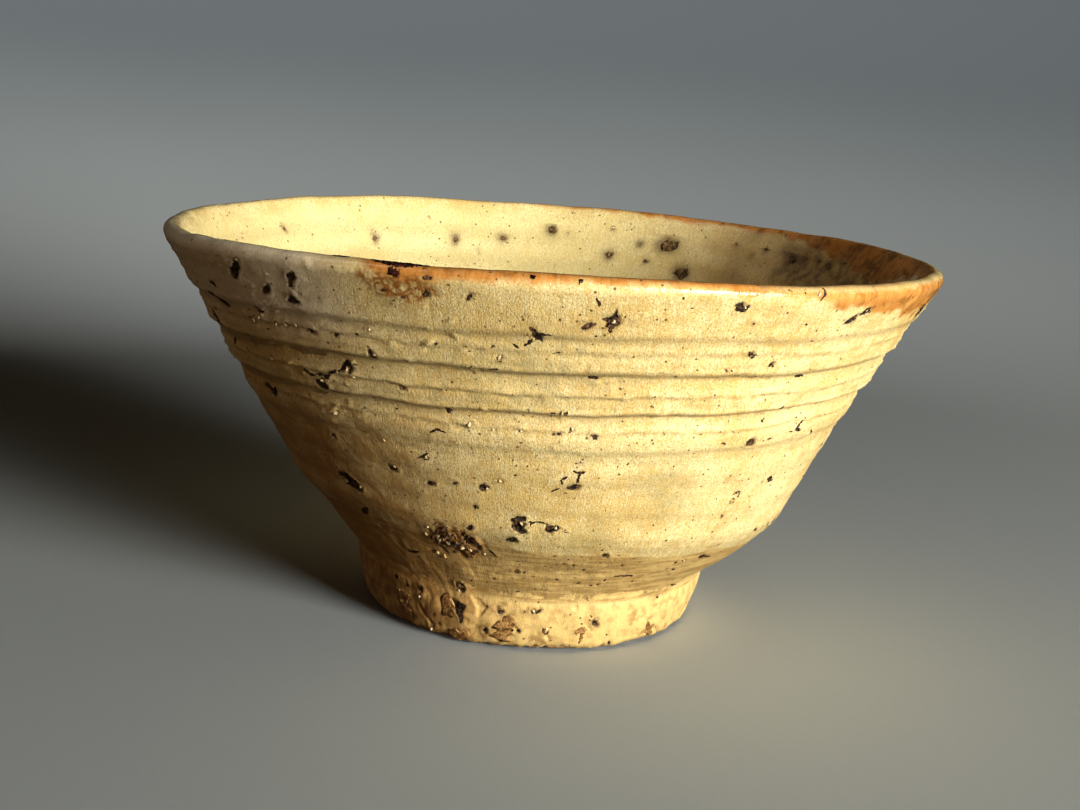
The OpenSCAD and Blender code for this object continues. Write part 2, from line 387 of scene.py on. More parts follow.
# Iron stones that burst through the outside glaze, and the cracks that run out
# of them. Each mark is a stroke of (angle, height, width) points.
BURSTS = [
    [(-42.9, 69.9, 0.4), (-44, 68.3, 1.3), (-45.3, 67.2, 1.4), (-45.4, 66.2, 0.5)],
    [(-33, 68.9, 0.5), (-33.5, 68.1, 1.4), (-34, 67.4, 0.6), (-34.1, 66.7, 0.9), (-34.5, 66.4, 0.4)],
    [(-40.4, 64.6, 0.5), (-39.6, 65.1, 1.5), (-38.8, 65.9, 0.8)],
    [(-35.7, 63.8, 0.7), (-34.8, 64.3, 1.4), (-34, 63.9, 0.7)],
    [(-54.3, 64.6, 0.6), (-53.4, 64.4, 1.0), (-52.8, 63.9, 0.4)],
    [(-57.8, 62.3, 0.5), (-56, 61.6, 1.8), (-53.8, 60.7, 1.5), (-52.8, 60.3, 0.5)],
    [(-45.3, 61.2, 0.4), (-44.2, 60.9, 0.9), (-43, 60.7, 0.3)],
    [(-34.8, 59.1, 0.5), (-34.1, 59.2, 1.1), (-33.6, 58.9, 0.5)],
    [(-29.6, 58.9, 0.6), (-29.2, 59.3, 0.8)],
    [(-24.1, 57.8, 0.4), (-23.9, 56.9, 0.9), (-23.8, 56, 0.5)],
    [
        (-30.6, 52.9, 0.7), (-29.9, 53.8, 0.7), (-29.2, 54.3, 0.8), (-28.6, 53.3, 0.7),
        (-29.3, 52.7, 0.5),
    ],
    [(-36.4, 49.9, 0.6), (-35.6, 50, 1.4), (-34.7, 49.6, 0.9)],
    [(-20.7, 52.1, 0.4), (-20.3, 51.8, 0.9), (-20, 51.4, 0.4)],
    [(-13.9, 49.3, 0.4), (-13.7, 48.4, 1.0), (-13.8, 47.7, 0.4)],
    [(-54.8, 46, 0.4), (-53, 45.3, 1.3), (-51.6, 44.7, 1.1), (-51.1, 46, 0.4)],
    [(-38.7, 39.2, 0.5), (-38.2, 38.9, 0.9)],
    [(-27.3, 34.9, 0.7), (-26.6, 34.6, 1.4), (-26, 34.1, 0.7)],
    [(-19.6, 33, 0.7), (-18.9, 33, 1.2), (-18.3, 33.3, 0.6)],
    [(-14.5, 33.9, 0.7), (-14.1, 33.9, 0.7)],
    [(-9.6, 33.7, 0.6), (-8.9, 33.8, 1.1), (-8.7, 34.5, 0.8), (-8.1, 34.3, 0.5), (-8, 33.8, 0.3)],
    [(-42, 29.8, 0.7), (-40, 29.5, 1.6), (-38.5, 28.1, 2.4), (-37.4, 27.2, 0.7)],
    [(-41.6, 27.6, 0.3), (-39.6, 27.8, 1.0), (-38.3, 27.6, 0.8)],
    [(-3.9, 27.5, 0.7), (-2.8, 28.1, 1.1), (-1.6, 28.3, 0.8)],
    [(-3.5, 27, 0.8), (-2.4, 26.1, 1.5), (-1.2, 25.6, 0.7)],
    [(3, 27.4, 0.5), (3.4, 26.8, 1.4), (3.7, 26.1, 0.6)],
    [(-4.9, 23.1, 0.5), (-3.9, 23.6, 1.4), (-3, 23.3, 0.6)],
    [(8.2, 67.8, 0.2), (8.1, 66.7, 0.8), (8, 65.7, 1.9), (7.9, 64.7, 1.0), (7.9, 63.9, 0.2)],
    [(6.7, 66, 0.3), (7.4, 65.9, 1.1), (8.4, 65.6, 1.1), (8.9, 65.3, 0.3)],
    [(4.5, 64.2, 0.6), (5.1, 64.9, 1.0), (6.1, 65.3, 0.3)],
    [(-1.8, 64.1, 0.5), (-1.1, 63.1, 1.1), (-0.7, 62.3, 0.8), (-0.2, 61.7, 0.3)],
    [(-9.3, 67.6, 0.5), (-8.8, 68.7, 0.6)],
    [(-14.5, 67.5, 0.8), (-14.1, 68.3, 0.8)],
    [(-14.1, 59.6, 0.5), (-13.9, 60.2, 0.5)],
    [(6.2, 56.2, 0.5), (6.9, 55.9, 0.9), (7.6, 55.7, 0.4)],
    [(2.2, 45.8, 0.5), (2.6, 46.1, 0.5)],
    [(3, 46, 0.5), (3.5, 46.2, 0.6)],
    [(8.1, 46.3, 0.3), (8.7, 45.9, 0.8), (9, 45.6, 0.3)],
    [(5.8, 35.9, 0.7), (6.6, 36, 1.0), (7.3, 36.2, 0.9)],
    [(22.6, 68.9, 0.5), (23.4, 69.2, 0.8), (23.1, 68.4, 0.9), (24, 68.2, 0.5), (24.5, 69.2, 0.4)],
    [(25.9, 66.4, 0.4), (26.3, 66.1, 0.4)],
    [(34.4, 66.2, 0.5), (34.8, 66, 0.4)],
    [(46, 67.8, 0.3), (45, 68.3, 1.2), (43.9, 67.5, 0.7)],
    [(43.5, 67.4, 0.7), (42.8, 66.8, 1.7), (42, 66.1, 0.7)],
    [(27.5, 61.4, 0.3), (28.3, 60.8, 0.9), (29, 60.3, 0.4)],
    [(31.9, 58.8, 0.7), (32.4, 59.2, 0.9)],
    [(25.1, 58.4, 0.4), (25.4, 58, 0.6)],
    [(39.1, 56.3, 0.4), (39.8, 56.3, 0.7), (41, 56.2, 0.3)],
    [(38.9, 50.2, 0.5), (39.2, 50.8, 0.9), (39.4, 51.3, 0.3)],
    [(37.2, 48.2, 0.3), (37.7, 47.9, 0.6)],
    [(35.8, 44.8, 0.7), (36.5, 44.5, 1.3), (37.3, 44.5, 0.7)],
    [(40.4, 44.7, 0.5), (41.4, 44.8, 0.4)],
    [(48.4, 47.2, 0.4), (48, 46.5, 0.5), (47.2, 45.7, 0.5), (48, 45.5, 0.8), (48.8, 45.4, 0.4)],
    [(39.6, 34.2, 0.4), (40.2, 34.5, 0.5), (41.2, 34.4, 0.5), (41.4, 33.6, 0.3)],
    [(39.6, 33, 0.3), (40.3, 32.6, 0.6), (41, 32.8, 0.3)],
    [(39.7, 30.3, 0.4), (40.1, 29.7, 0.6), (40.6, 29.9, 0.3)],
    [(47.9, 36.5, 0.3), (48.8, 36.1, 0.9), (50.3, 35.6, 0.4)],
    [(46, 36.1, 0.4), (46.7, 36, 0.5)],
    [(43, 20.8, 0.4), (44, 20.5, 1.1), (46, 20.4, 0.6), (48, 20.1, 0.3)],
    [(16, 21.8, 0.6), (16.6, 21.6, 0.9)],
    [(-14, 22.4, 1.4), (-12.8, 21.2, 2.1), (-11.8, 20.1, 1.5)],
    [(-12.9, 24.2, 0.5), (-12.2, 24.7, 0.8), (-11.8, 25.6, 0.3)],
    [(-42, 21.4, 0.5), (-40, 22.2, 1.2), (-38.6, 23, 0.6)],
    [(-20.8, 11.9, 0.8), (-20.3, 11.1, 1.8), (-20.1, 10.3, 0.9)],
    [(-23.5, 8, 0.9), (-21.6, 7.3, 1.7), (-19.2, 7.8, 0.9)],
    [(-21, 6.6, 1.1), (-19.9, 5.2, 0.7), (-20.2, 4.3, 0.3)],
    [(-12.6, 3.3, 0.8), (-12.3, 3.9, 0.8)],
    [(21.6, 6.5, 0.9), (22.1, 6, 1.4), (22.4, 5.6, 0.9)],
    [(3.1, 8.1, 0.4), (3.6, 8.4, 0.5), (4.5, 8.9, 0.7)],
    [(5.8, 5.1, 0.4), (6, 4.2, 0.5), (6.9, 3.8, 0.5), (7.7, 4.7, 0.3)],
    [(28.7, 1.9, 0.4), (29.1, 1.2, 0.6)],
    [(-1.9, 4.2, 0.7), (-1.5, 4.6, 0.5)],
    [(-8.2, 7.6, 0.8), (-7.3, 7.7, 0.6)],
    [(-35.8, 9, 0.6), (-34.5, 8.8, 1.0)],
]

# Thin cracks in the outside glaze.
CRACKS = [
    [
        (-38.9, 51.7, 0.9), (-38, 51.3, 0.6), (-36.4, 51, 0.5), (-35.4, 51.4, 0.9), (-34, 51.2, 0.8),
        (-32.4, 52.5, 0.5), (-30.8, 52.9, 0.7),
    ],
    [
        (-36.1, 51.1, 0.6), (-36.3, 50.4, 0.6), (-35.8, 49.8, 0.6), (-34.8, 49.9, 0.7),
        (-34.2, 50.8, 0.6),
    ],
    [(-34.8, 49.6, 0.8), (-33.6, 49, 0.6), (-33.1, 48.6, 0.6), (-32.9, 48, 0.3)],
    [(-28.2, 54.2, 0.5), (-27.6, 54.1, 0.2)],
    [(-1, 63, 0.8), (0.9, 63.05, 0.15)],
    [(-0.8, 62.6, 0.7), (-1.6, 61.6, 0.6), (-2.5, 60.8, 0.35)],
    [(-4, 61, 0.3), (-3.5, 60.7, 0.4), (-3.1, 60.4, 0.2)],
    [(5.5, 69.3, 0.2), (5.9, 68.7, 0.35), (6.1, 68, 0.5)],
    [(-6.3, 58.2, 0.3), (-5.6, 58.2, 0.45), (-5, 58.35, 0.3)],
    [(-7, 56.9, 0.3), (-5.8, 57, 0.4)],
    [(1.5, 50.2, 0.3), (2.1, 50.15, 0.5), (2.6, 50.2, 0.2)],
    [(4, 50.6, 0.3), (3.7, 50, 0.5), (3.8, 49.6, 0.5)],
    [(3.2, 49.2, 0.25), (3.8, 49.6, 0.35), (4.3, 49.3, 0.25)],
    [(-17, 44.4, 0.5), (-16.3, 44.8, 0.5), (-15.8, 45.1, 0.5), (-15.2, 44.9, 0.3), (-14.3, 44.8, 0.4)],
    [(-20.5, 38.3, 0.3), (-19.7, 38.6, 0.5), (-19, 39.2, 0.4), (-18.2, 39.7, 0.3)],
    [(-19.4, 38.1, 0.3), (-18.5, 38.3, 0.4), (-18.2, 38.9, 0.3)],
    [(6.1, 39.4, 0.3), (7, 39.1, 0.7), (7.9, 39.2, 0.5), (8.2, 39.5, 0.2)],
    [(7.4, 39, 0.6), (7.25, 38, 0.4), (7.1, 36.9, 0.4), (7.2, 36.3, 0.7)],
    [(5.4, 38.3, 0.35), (4.9, 37.8, 0.45), (4.3, 37.4, 0.35), (4.6, 37, 0.3), (4.7, 36.4, 0.45)],
    [(3, 34.7, 0.3), (3.5, 35.2, 0.5), (4.4, 35.6, 0.25)],
    [(-1.4, 28.3, 0.5), (-1.4, 29.2, 0.15)],
    [
        (-1.1, 25.7, 0.5), (-0.6, 26.8, 0.45), (-0.2, 27.6, 0.4), (0.8, 28, 0.35), (2.2, 28, 0.35),
        (3.2, 27.6, 0.5),
    ],
    [(-1.5, 28.2, 0.6), (-0.6, 27.8, 0.5), (0.2, 27.8, 0.3)],
    [(3.6, 27, 0.5), (4.3, 27.8, 0.35), (5, 27.4, 0.5), (6.1, 27.1, 0.2)],
    [(3.9, 26.6, 0.4), (4.8, 26.7, 0.3), (5.2, 27.2, 0.35)],
    [(6.2, 26.6, 0.2), (7.4, 26.4, 0.2)],
    [(4.2, 46.3, 0.3), (5, 46.4, 0.3)],
    [(35.4, 71.7, 0.3), (35.5, 70.9, 0.5), (34.6, 70.1, 0.3)],
    [(45.3, 45.5, 0.2), (46.6, 45.4, 0.3)],
    [(52.6, 45, 0.3), (53.4, 44.3, 0.5)],
    [(-9, 20.2, 0.3), (-8.3, 19.5, 0.5), (-7.6, 18.7, 0.4)],
    [(22, 16.5, 0.4), (23.5, 16.7, 0.6), (25.5, 16.8, 0.6), (27.5, 16.5, 0.4)],
    [(20.4, 15.8, 0.4), (20, 15.4, 0.5)],
    [(47.5, 12.4, 0.3), (51, 11.7, 0.7), (54.5, 11.1, 0.3)],
    [(-33.6, 15.7, 0.4), (-31.5, 15.7, 0.7), (-29.8, 16.1, 0.4)],
    [(20, 7.8, 0.2), (20.8, 7.3, 0.4)],
    [(-22, 18.9, 0.4), (-20.8, 18.2, 0.9), (-20, 17.4, 0.4)],
]

# Brown dashes and dots, softer than the bursts: (angle, height, width, length,
# slope in degrees).
DASHES = [
    (-26.5, 48.4, 0.4, 1.0, -30), (-22.6, 47.2, 0.4, 0.8, 40), (-28.6, 46.5, 0.3, 0.6, 0),
    (-26.7, 45.7, 0.4, 0.7, 10), (-25.7, 59.9, 0.5, 1.0, 20), (-24.5, 61, 0.5, 0.6, 0),
    (-6.4, 60.5, 0.35, 0.7, -50), (-9.6, 59.3, 0.3, 0.7, 0), (-9.4, 57, 0.4, 0.6, 0),
    (-18.6, 56.5, 0.5, 0.8, -30), (-8, 56.2, 0.3, 0.6, -40), (13.3, 66.3, 0.4, 0.5, 60),
    (15.7, 69.8, 0.4, 0.7, 40), (17.2, 68.3, 0.3, 0.4, 0), (17.8, 61.7, 0.3, 0.4, 0),
    (8.8, 61.1, 0.3, 0.8, 0), (20.2, 59.9, 0.3, 0.5, -20), (9.3, 66.6, 0.3, 0.6, 60),
    (24.1, 63.9, 0.4, 0.6, 0), (32.2, 71, 0.3, 0.5, 0), (30.9, 44.7, 0.5, 1.6, -20),
    (15.1, 40.9, 0.5, 0.5, 0), (20.3, 50.1, 0.35, 0.6, -10), (19.5, 46.6, 0.35, 1.0, -40),
    (21.6, 46.5, 0.3, 0.6, -50), (26, 46.4, 0.3, 0.8, -10), (32, 46.6, 0.3, 1.2, -15),
    (32.7, 56.2, 0.25, 0.5, -20), (34.1, 53.4, 0.3, 0.6, -30), (-43.5, 57.9, 0.3, 1.0, 10),
    (-51.5, 55.4, 0.7, 2.2, 15), (-60, 52.8, 0.8, 2.6, 35), (-18.8, 66.5, 0.5, 1.3, 15),
    (-14, 70.4, 0.5, 1.8, 5), (-18, 70.3, 1.0, 1.1, 30), (-19.8, 67.9, 0.6, 1.2, 10),
    (-17.3, 67.2, 0.6, 0.9, 60), (-10.8, 29.4, 0.5, 1.6, 80), (16.4, 23.9, 0.4, 0.5, 0),
    (15.2, 22.9, 0.4, 0.8, -30), (8, 18.8, 0.6, 1.3, 10), (10.4, 18.7, 0.5, 0.9, 15),
    (13.3, 17.7, 0.5, 1.2, -10), (8.8, 20.1, 0.4, 0.7, 0), (5.5, 20.7, 0.4, 0.6, 80),
    (-3, 15.9, 0.8, 1.3, 70), (-1, 16, 0.6, 1.0, 80), (1.4, 15.4, 0.4, 0.9, 0),
    (7.5, 15.1, 0.5, 1.2, -10), (-9, 14.1, 0.5, 1.4, 10), (13.4, 14.7, 0.5, 0.9, -20),
    (17.1, 14.4, 0.4, 0.8, 0), (18.9, 14.6, 0.5, 0.9, 30), (-2.6, 12, 0.6, 1.8, 10),
    (28.7, 15.2, 0.4, 1.1, -10), (4, 13.2, 0.3, 0.8, 20), (22, 19.3, 0.5, 1.0, 0),
    (38.5, 17.8, 0.5, 2.0, -20), (36.4, 19.8, 0.5, 1.3, -40), (45, 9.7, 0.5, 1.5, -25),
    (-15, 17.8, 0.5, 1.4, 0), (-17, 19.6, 0.6, 1.2, 20), (-0.3, 8.3, 0.4, 0.8, 40),
    (-13.5, 9.4, 0.3, 0.4, 0), (-11.8, 8.3, 0.4, 0.4, 0), (0, 2.6, 0.5, 0.8, 60),
    (-7.2, 35, 0.4, 0.7, 40), (-16, 13, 0.4, 0.8, 20), (56.3, 25.6, 0.7, 2.2, -20),
    (50.6, 34.8, 0.4, 0.7, -30), (45, 29, 0.3, 0.6, 0), (28.3, 25.5, 0.3, 0.6, 50),
    (-40.5, 8.6, 0.7, 1.4, -30), (-30, 4.6, 0.5, 0.8, 30), (-28.5, 3.2, 0.5, 0.7, 0),
    (-45.5, 9.2, 0.8, 1.6, 0), (-30, 12.5, 0.4, 1.0, 10), (12, 27.2, 0.3, 0.5, 0),
]

# Pale grains of stone that stand in the glaze: (angle, height, width, length, slope).
GRAINS = [
    (-47, 58.9, 1.1, 1.9, 20), (-41.1, 59.1, 0.6, 0.6, 0), (-38.9, 59.2, 0.6, 0.8, 50),
    (-36.8, 59.5, 0.6, 1.2, 10), (-44.8, 59.6, 0.4, 0.8, 20), (-46.7, 52.2, 0.6, 1.1, 40),
    (-35.1, 44.5, 0.7, 1.6, 10), (-26.4, 40.8, 0.5, 0.8, 70), (-35.1, 50.6, 0.7, 1.0, 50),
    (-29.5, 53.4, 0.8, 1.0, -25), (-28.5, 52.2, 0.5, 1.1, 10), (-43, 69.7, 0.6, 0.8, 40),
    (8.05, 65.6, 0.5, 1.2, 80), (23.9, 68.8, 0.6, 0.9, 70), (44.8, 68.2, 0.3, 0.8, 40),
    (-8.4, 33.8, 0.4, 0.7, 80), (-26.1, 35, 0.5, 0.9, 70), (4.6, 27.1, 0.6, 0.8, 20),
    (-2, 27.3, 1.0, 1.1, 0), (-5.6, 58.8, 0.8, 1.0, 0), (-23.5, 57, 0.4, 0.7, 70),
    (-23.6, 60.9, 0.4, 0.6, 60), (29.1, 60.9, 0.4, 0.8, 60), (26.2, 58.2, 0.5, 1.0, 60),
    (32.9, 58.9, 0.4, 0.8, 60), (3.2, 50.3, 0.6, 1.0, 10), (5, 46.9, 0.5, 0.9, 10),
    (7.2, 41.2, 0.5, 0.8, 30), (-18.9, 38.7, 0.5, 0.8, 10), (-6, 35.7, 0.6, 1.2, 80),
    (49.4, 36.5, 0.4, 1.6, -25), (40.4, 33.5, 0.5, 0.9, 70), (34.4, 70.8, 0.5, 1.2, 30),
    (2.4, 8.5, 0.8, 1.2, 20), (6.8, 5, 0.4, 1.0, 85), (22.2, 6.9, 0.6, 0.8, 0),
    (-21, 10.4, 0.5, 1.2, -50), (-31.6, 2.4, 0.5, 0.9, 30), (-32.2, 1.5, 0.5, 1.2, 40),
    (-35.4, 7.3, 0.5, 1.2, 80), (38.6, 20.1, 0.5, 1.2, -35), (-54.6, 52.1, 0.5, 0.9, 30),
    (-37, 28, 0.5, 0.9, -60), (-10.6, 46.5, 0.6, 1.2, 0), (-2.6, 46.1, 0.5, 1.0, 20),
    (-6.9, 45.9, 0.4, 0.8, 0),
]

# Pale chips in the rough patch below the hip: (angle, height, width, length, slope).
PALE_CHIPS = [
    (-20.9, 20.4, 0.7, 2.6, 65), (-23.9, 20.9, 0.6, 1.3, 80), (-18.7, 20.2, 0.8, 1.4, 60),
    (-15.6, 19.6, 0.6, 1.6, 50), (-13.5, 19.2, 0.9, 1.2, 20), (-16.6, 18.6, 0.5, 1.4, 60),
    (-21.8, 16.6, 0.7, 1.4, 70), (-17.8, 22.3, 0.4, 1.2, 40), (-22.3, 22.9, 0.5, 1.0, 20),
    (-10.5, 18.8, 0.4, 1.0, 80), (-23.3, 17.1, 0.5, 1.1, 30),
]

# Marks in the inside glaze: (angle, depth below the rim, width, length, slope).
INSIDE_MARKS = [
    (156, 6.5, 3, 5.5, 0), (152, 12, 2.4, 4.5, 0), (160, 10.5, 0.9, 1.8, 0), (180, 5.5, 1.7, 3, 0),
    (177, 6, 0.6, 2, 0), (168, 10, 1.5, 2.6, 0), (-170, 8, 1.2, 2, 0), (-165, 11, 0.7, 1.2, 0),
    (-160, 9, 1.6, 2.4, 0), (-155, 4, 0.8, 1.4, 0), (-142, 9, 1.4, 2.2, 0), (-140, 3, 1.1, 1.8, 0),
    (-138, 2, 0.9, 1.6, 0), (-120, 6, 1.1, 1.8, 0), (128, 5.5, 2.1, 3.6, -35), (125, 5, 1, 2.5, 0),
    (135, 4, 1.2, 2, 0), (132, 1, 0.7, 1.4, 0), (138, 6, 0.9, 1.8, 0), (142, 4, 0.9, 1.6, 0),
    (118, 5.5, 1.4, 2.4, 0), (121, 5, 0.9, 1.8, 0), (114, 4, 1.2, 2.2, 0), (104, 2.5, 1.1, 2.4, 0),
    (176, 1.5, 0.9, 1.8, 0), (168, 4, 1, 2, 0), (162, 7, 1.2, 2.2, 0), (98, 0.5, 0.8, 1.8, 0),
    (92, 0.5, 0.8, 1.8, 0), (88, 10, 1.9, 5, -25), (75, 12, 1.6, 4.5, -45), (56, 5.5, 1.1, 2.6, -20),
]


def dash(mark):
    """An (angle, height, width, length, slope) mark as a stroke."""
    angle, height, width, length, slope = mark
    half = max(length - width, 0.2) / 2
    across = half * math.cos(math.radians(slope)) / 1.1
    up = half * math.sin(math.radians(slope))
    ends = [(angle - across, height - up), (angle + across, height + up)]
    return [(*ends[0], width * 0.75), (angle, height, width), (*ends[1], width * 0.7)]


def scattered(count, seed, low, high, widest, gap, centre=180.0, small=3):
    """Marks like the ones in the lists above, at random within gap degrees of centre."""
    rng = np.random.default_rng(seed)
    marks = []
    for _ in range(count):
        angle = centre + rng.uniform(-gap, gap)
        angle = (angle + 180) % 360 - 180
        width = 0.25 + (widest - 0.25) * rng.random() ** small
        height, length = rng.uniform(low, high), width * rng.uniform(1.0, 2.2)
        marks.append((angle, height, width, length, rng.uniform(-90, 90)))
    return marks


def with_arms(marks, seed):
    """Strokes for scattered bursts: the larger ones get a second lobe and thin cracks that run out."""
    rng = np.random.default_rng(seed)
    bodies, cracks = [], []
    for mark in marks:
        bodies.append(dash(mark))
        angle, height, width = mark[:3]
        if width < 1.0:
            continue
        slope = rng.uniform(0, 360)
        lobe_height = height + rng.uniform(-0.5, 0.5) * width
        bodies.append(dash((angle + 0.5 * width, lobe_height, width * 0.7, width * 1.6, slope)))
        for arm in range(rng.integers(1, 4)):
            way = math.radians(slope + arm * 120 + rng.uniform(-30, 30))
            reach = width * rng.uniform(1.0, 2.2)
            bend = way + rng.uniform(-0.7, 0.7)
            middle = (angle + reach * 0.5 * math.cos(way), height + reach * 0.5 * math.sin(way), 0.4)
            tip = (angle + reach * math.cos(bend), height + reach * math.sin(bend), 0.15)
            cracks.append([(angle, height, 0.6), middle, tip])
    return bodies, cracks


BACK_BURSTS, BACK_CRACKS = with_arms(scattered(84, 5, 12, 69, 2.4, 118, small=2), 6)
BACK_DASHES = [dash(m) for m in scattered(90, 7, 3, 69, 0.7, 120)]
FRONT_DOTS = [dash(m) for m in scattered(110, 8, 26, 68, 0.42, 62, centre=0.0)]
BACK_GRAINS = [dash(m) for m in scattered(46, 9, 6, 68, 1.1, 118)]
INSIDE_SCATTER = scattered(18, 15, 50, 68, 1.5, 80, centre=0.0) + scattered(34, 16, 16, 50, 1.8, 180)
INSIDE_SCATTER = [(angle, TOP - height, *rest) for angle, height, *rest in INSIDE_SCATTER]

IRON_STROKES = BURSTS + [dash(d) for d in DASHES] + BACK_BURSTS + BACK_DASHES + FRONT_DOTS
CRACK_STROKES = CRACKS + BACK_CRACKS
GRAIN_STROKES = [dash(g) for g in GRAINS] + BACK_GRAINS
SPOT_STROKES = [dash(m) for m in INSIDE_MARKS + INSIDE_SCATTER]


# ---- strokes pressed into or laid on the skin

# Dark iron scars on the lip: (angle, distance from the top of the lip, width).
LIP_SCARS = [
    [(-22, 0.3, 0.3), (-20.3, 0.5, 1.0), (-18, 0.6, 1.5), (-16, 0.5, 1.2), (-14, 0.3, 0.3)],
    [(-19, 1.8, 0.8), (-18.2, 1.9, 1.2), (-17.4, 2.3, 0.7)],
    [(-27.5, 0.3, 0.3), (-26, 0.4, 0.6), (-24.8, 0.3, 0.3)],
    [(-2, 1.2, 0.5), (-1.6, 1.6, 0.6)],
    [(3.4, 1.4, 0.6), (3.8, 1.8, 0.7)],
]

# Runs and patches of brown glaze on the foot: (angle, height, width).
FOOT_RUNS = [
    [(-4.2, 7.4, 0.8), (-5.2, 5.8, 2.4), (-6.6, 4.0, 3.4), (-7.8, 1.9, 3.8)],
    [(-23, 8.6, 2.0), (-25, 7.2, 3.0), (-24.5, 5.0, 2.2)],
    [(-19, 3.2, 1.2), (-20, 1.9, 3.6), (-25, 1.4, 2.4)],
    [(15.8, 4.2, 0.7), (17.8, 5.0, 1.3), (19.6, 4.6, 0.8)],
    [(18.2, 4.7, 0.9), (18.3, 3.2, 0.6), (18.1, 1.8, 0.4)],
    [(43, 4.6, 0.8), (45, 2.4, 1.8), (47, 1.6, 1.2)],
    [(-42, 7.6, 2.0), (-44, 5.0, 2.6), (-41, 3.0, 1.6)],
    [(126, 8.2, 1.6), (128, 5.6, 3.0), (131, 3.0, 2.2)],
    [(-142, 7.6, 1.6), (-139, 5.0, 3.4), (-141, 2.6, 2.0)],
    [(176, 6.4, 1.0), (178, 4.0, 2.0), (-179, 2.4, 1.2)],
]


def from_top(distance):
    return S_TOP - distance


class Stroke:
    """A mark on the skin, as close steps along its middle line.

    x is the place round the bowl in mm, s the place along the profile, and
    width the mark's width there.
    """

    def __init__(self, points, to_s, rng, slim):
        table = np.array(points, float)
        s = to_s(table[:, 1])
        self.radius = float(profile_at(s.mean())[0])
        x = np.unwrap(np.radians(table[:, 0])) * self.radius
        travelled = np.concatenate([[0], np.cumsum(np.hypot(np.diff(x), np.diff(s)))])
        widths = table[:, 2] * slim
        step = 0.2 + 0.06 * widths.max()
        count = max(5, int(travelled[-1] / step) + 1)
        at = np.linspace(0, travelled[-1], count)
        self.x, self.s, self.width = (np.interp(at, travelled, v) for v in (x, s, widths))
        for values in (self.x, self.s):
            values[1:-1] = 0.25 * values[:-2] + 0.5 * values[1:-1] + 0.25 * values[2:]
        ragged = np.minimum(self.width, 1.2) * 0.2
        self.x += ragged * rng.uniform(-1, 1, count)
        self.s += ragged * rng.uniform(-1, 1, count)
        self.width *= 1 + 0.35 * rng.uniform(-1, 1, count)


def strokes_of(marks, to_s, seed, slim=1.0):
    rng = np.random.default_rng(seed)
    return [Stroke(m, to_s, rng, slim) for m in marks]


SECTION = np.radians([0, 35, 70, 110, 145, 180, 225, 270, 315])


def stroke_mesh(strokes, rise, dome, rough, seed):
    """A closed, crumbly strip for each stroke, sunk into the skin.

    rise is how far it stands out, and dome its extra height for its width,
    which is a hollow if below 0.
    """
    rng = np.random.default_rng(seed)
    ring = len(SECTION)
    thetas, lengths, lifts, quads, caps = [], [], [], [], []
    base = 0
    for stroke in strokes:
        count = len(stroke.x)
        dx, ds = np.gradient(stroke.x), np.gradient(stroke.s)
        length = np.hypot(dx, ds) + 1e-9
        taper = np.ones(count)
        taper[0] = taper[-1] = 0.25
        half = 0.5 * stroke.width * taper
        crumble = 1 + rough * rng.uniform(-1, 1, (count, ring))
        across = half[:, None] * np.cos(SECTION) * (1 + 0.5 * rough * rng.uniform(-1, 1, (count, ring)))
        bulge = dome * np.minimum(stroke.width, 2) * taper
        top = np.where(np.sin(SECTION) > -0.1, rise + bulge[:, None] * np.sin(SECTION) * crumble, 0)
        top = top + 0.05 * rough * rng.uniform(-1, 1, (count, ring))
        under = 0.45 * np.minimum(np.sin(SECTION), 0)
        x = stroke.x[:, None] - across * (ds / length)[:, None]
        thetas.append((x / stroke.radius).ravel())
        lengths.append((stroke.s[:, None] + across * (dx / length)[:, None]).ravel())
        lifts.append((top + under).ravel())
        i = np.arange(count - 1)[:, None] * ring
        j = np.arange(ring)
        k = (j + 1) % ring
        quads.append((base + np.stack([i + j, i + k, i + k + ring, i + j + ring], -1)).reshape(-1, 4))
        caps.append((base + np.arange(ring))[::-1].tolist())
        caps.append((base + (count - 1) * ring + np.arange(ring)).tolist())
        base += count * ring
    points = surface(np.concatenate(thetas), np.concatenate(lengths), np.concatenate(lifts))
    points[:, 2] = np.maximum(points[:, 2], 0.05)
    return points, np.concatenate(quads).tolist() + caps


def nearness(theta, s, strokes):
    """Each grid point's distance from the nearest stroke's edge, and that stroke's width."""
    near = np.full(theta.shape, 9.0)
    size = np.zeros(theta.shape)
    columns = theta.shape[1]
    row_s = s.mean(axis=1)
    for stroke in strokes:
        for x, place, width in zip(stroke.x, stroke.s, stroke.width):
            reach = 0.5 * width + 2.2
            rows = np.nonzero(np.abs(row_s - place) < reach + 1.0)[0]
            if not len(rows):
                continue
            middle = int(round((x / stroke.radius + math.pi) / TURN * columns))
            side = int(reach / stroke.radius / TURN * columns) + 1
            cols = np.arange(middle - side, middle + side + 1) % columns
            block = np.ix_(rows, cols)
            turn = (theta[block] - x / stroke.radius + math.pi) % TURN - math.pi
            distance = np.hypot(turn * stroke.radius, s[block] - place) - 0.5 * width
            closer = distance < near[block]
            near[block] = np.where(closer, distance, near[block])
            size[block] = np.where(closer, width, size[block])
    return near, size


# ---- staining and painted shade of the skin

# How far below the rim the lip's orange reaches, outside and inside: (angle, mm).
FLUSH_OUTSIDE = [
    (-180, 0.3), (-120, 0), (-60, 0), (-25, 0), (-20, 2.4), (-12, 2.6), (-5, 1.8), (5, 1.5), (20, 1.7),
    (28, 1.7), (35, 2.6), (48, 4.4), (60, 5.6), (90, 6.5), (120, 4.5), (150, 2.0), (170, 0.8),
]
FLUSH_INSIDE = [
    (-180, 0.5), (-120, 0.2), (-60, 0), (-25, 0), (-18, 0.8), (0, 0.8), (30, 0.8), (60, 1.4), (85, 2.6),
    (98, 6.0), (108, 7.0), (116, 4.5), (128, 2.0), (150, 1.4),
]
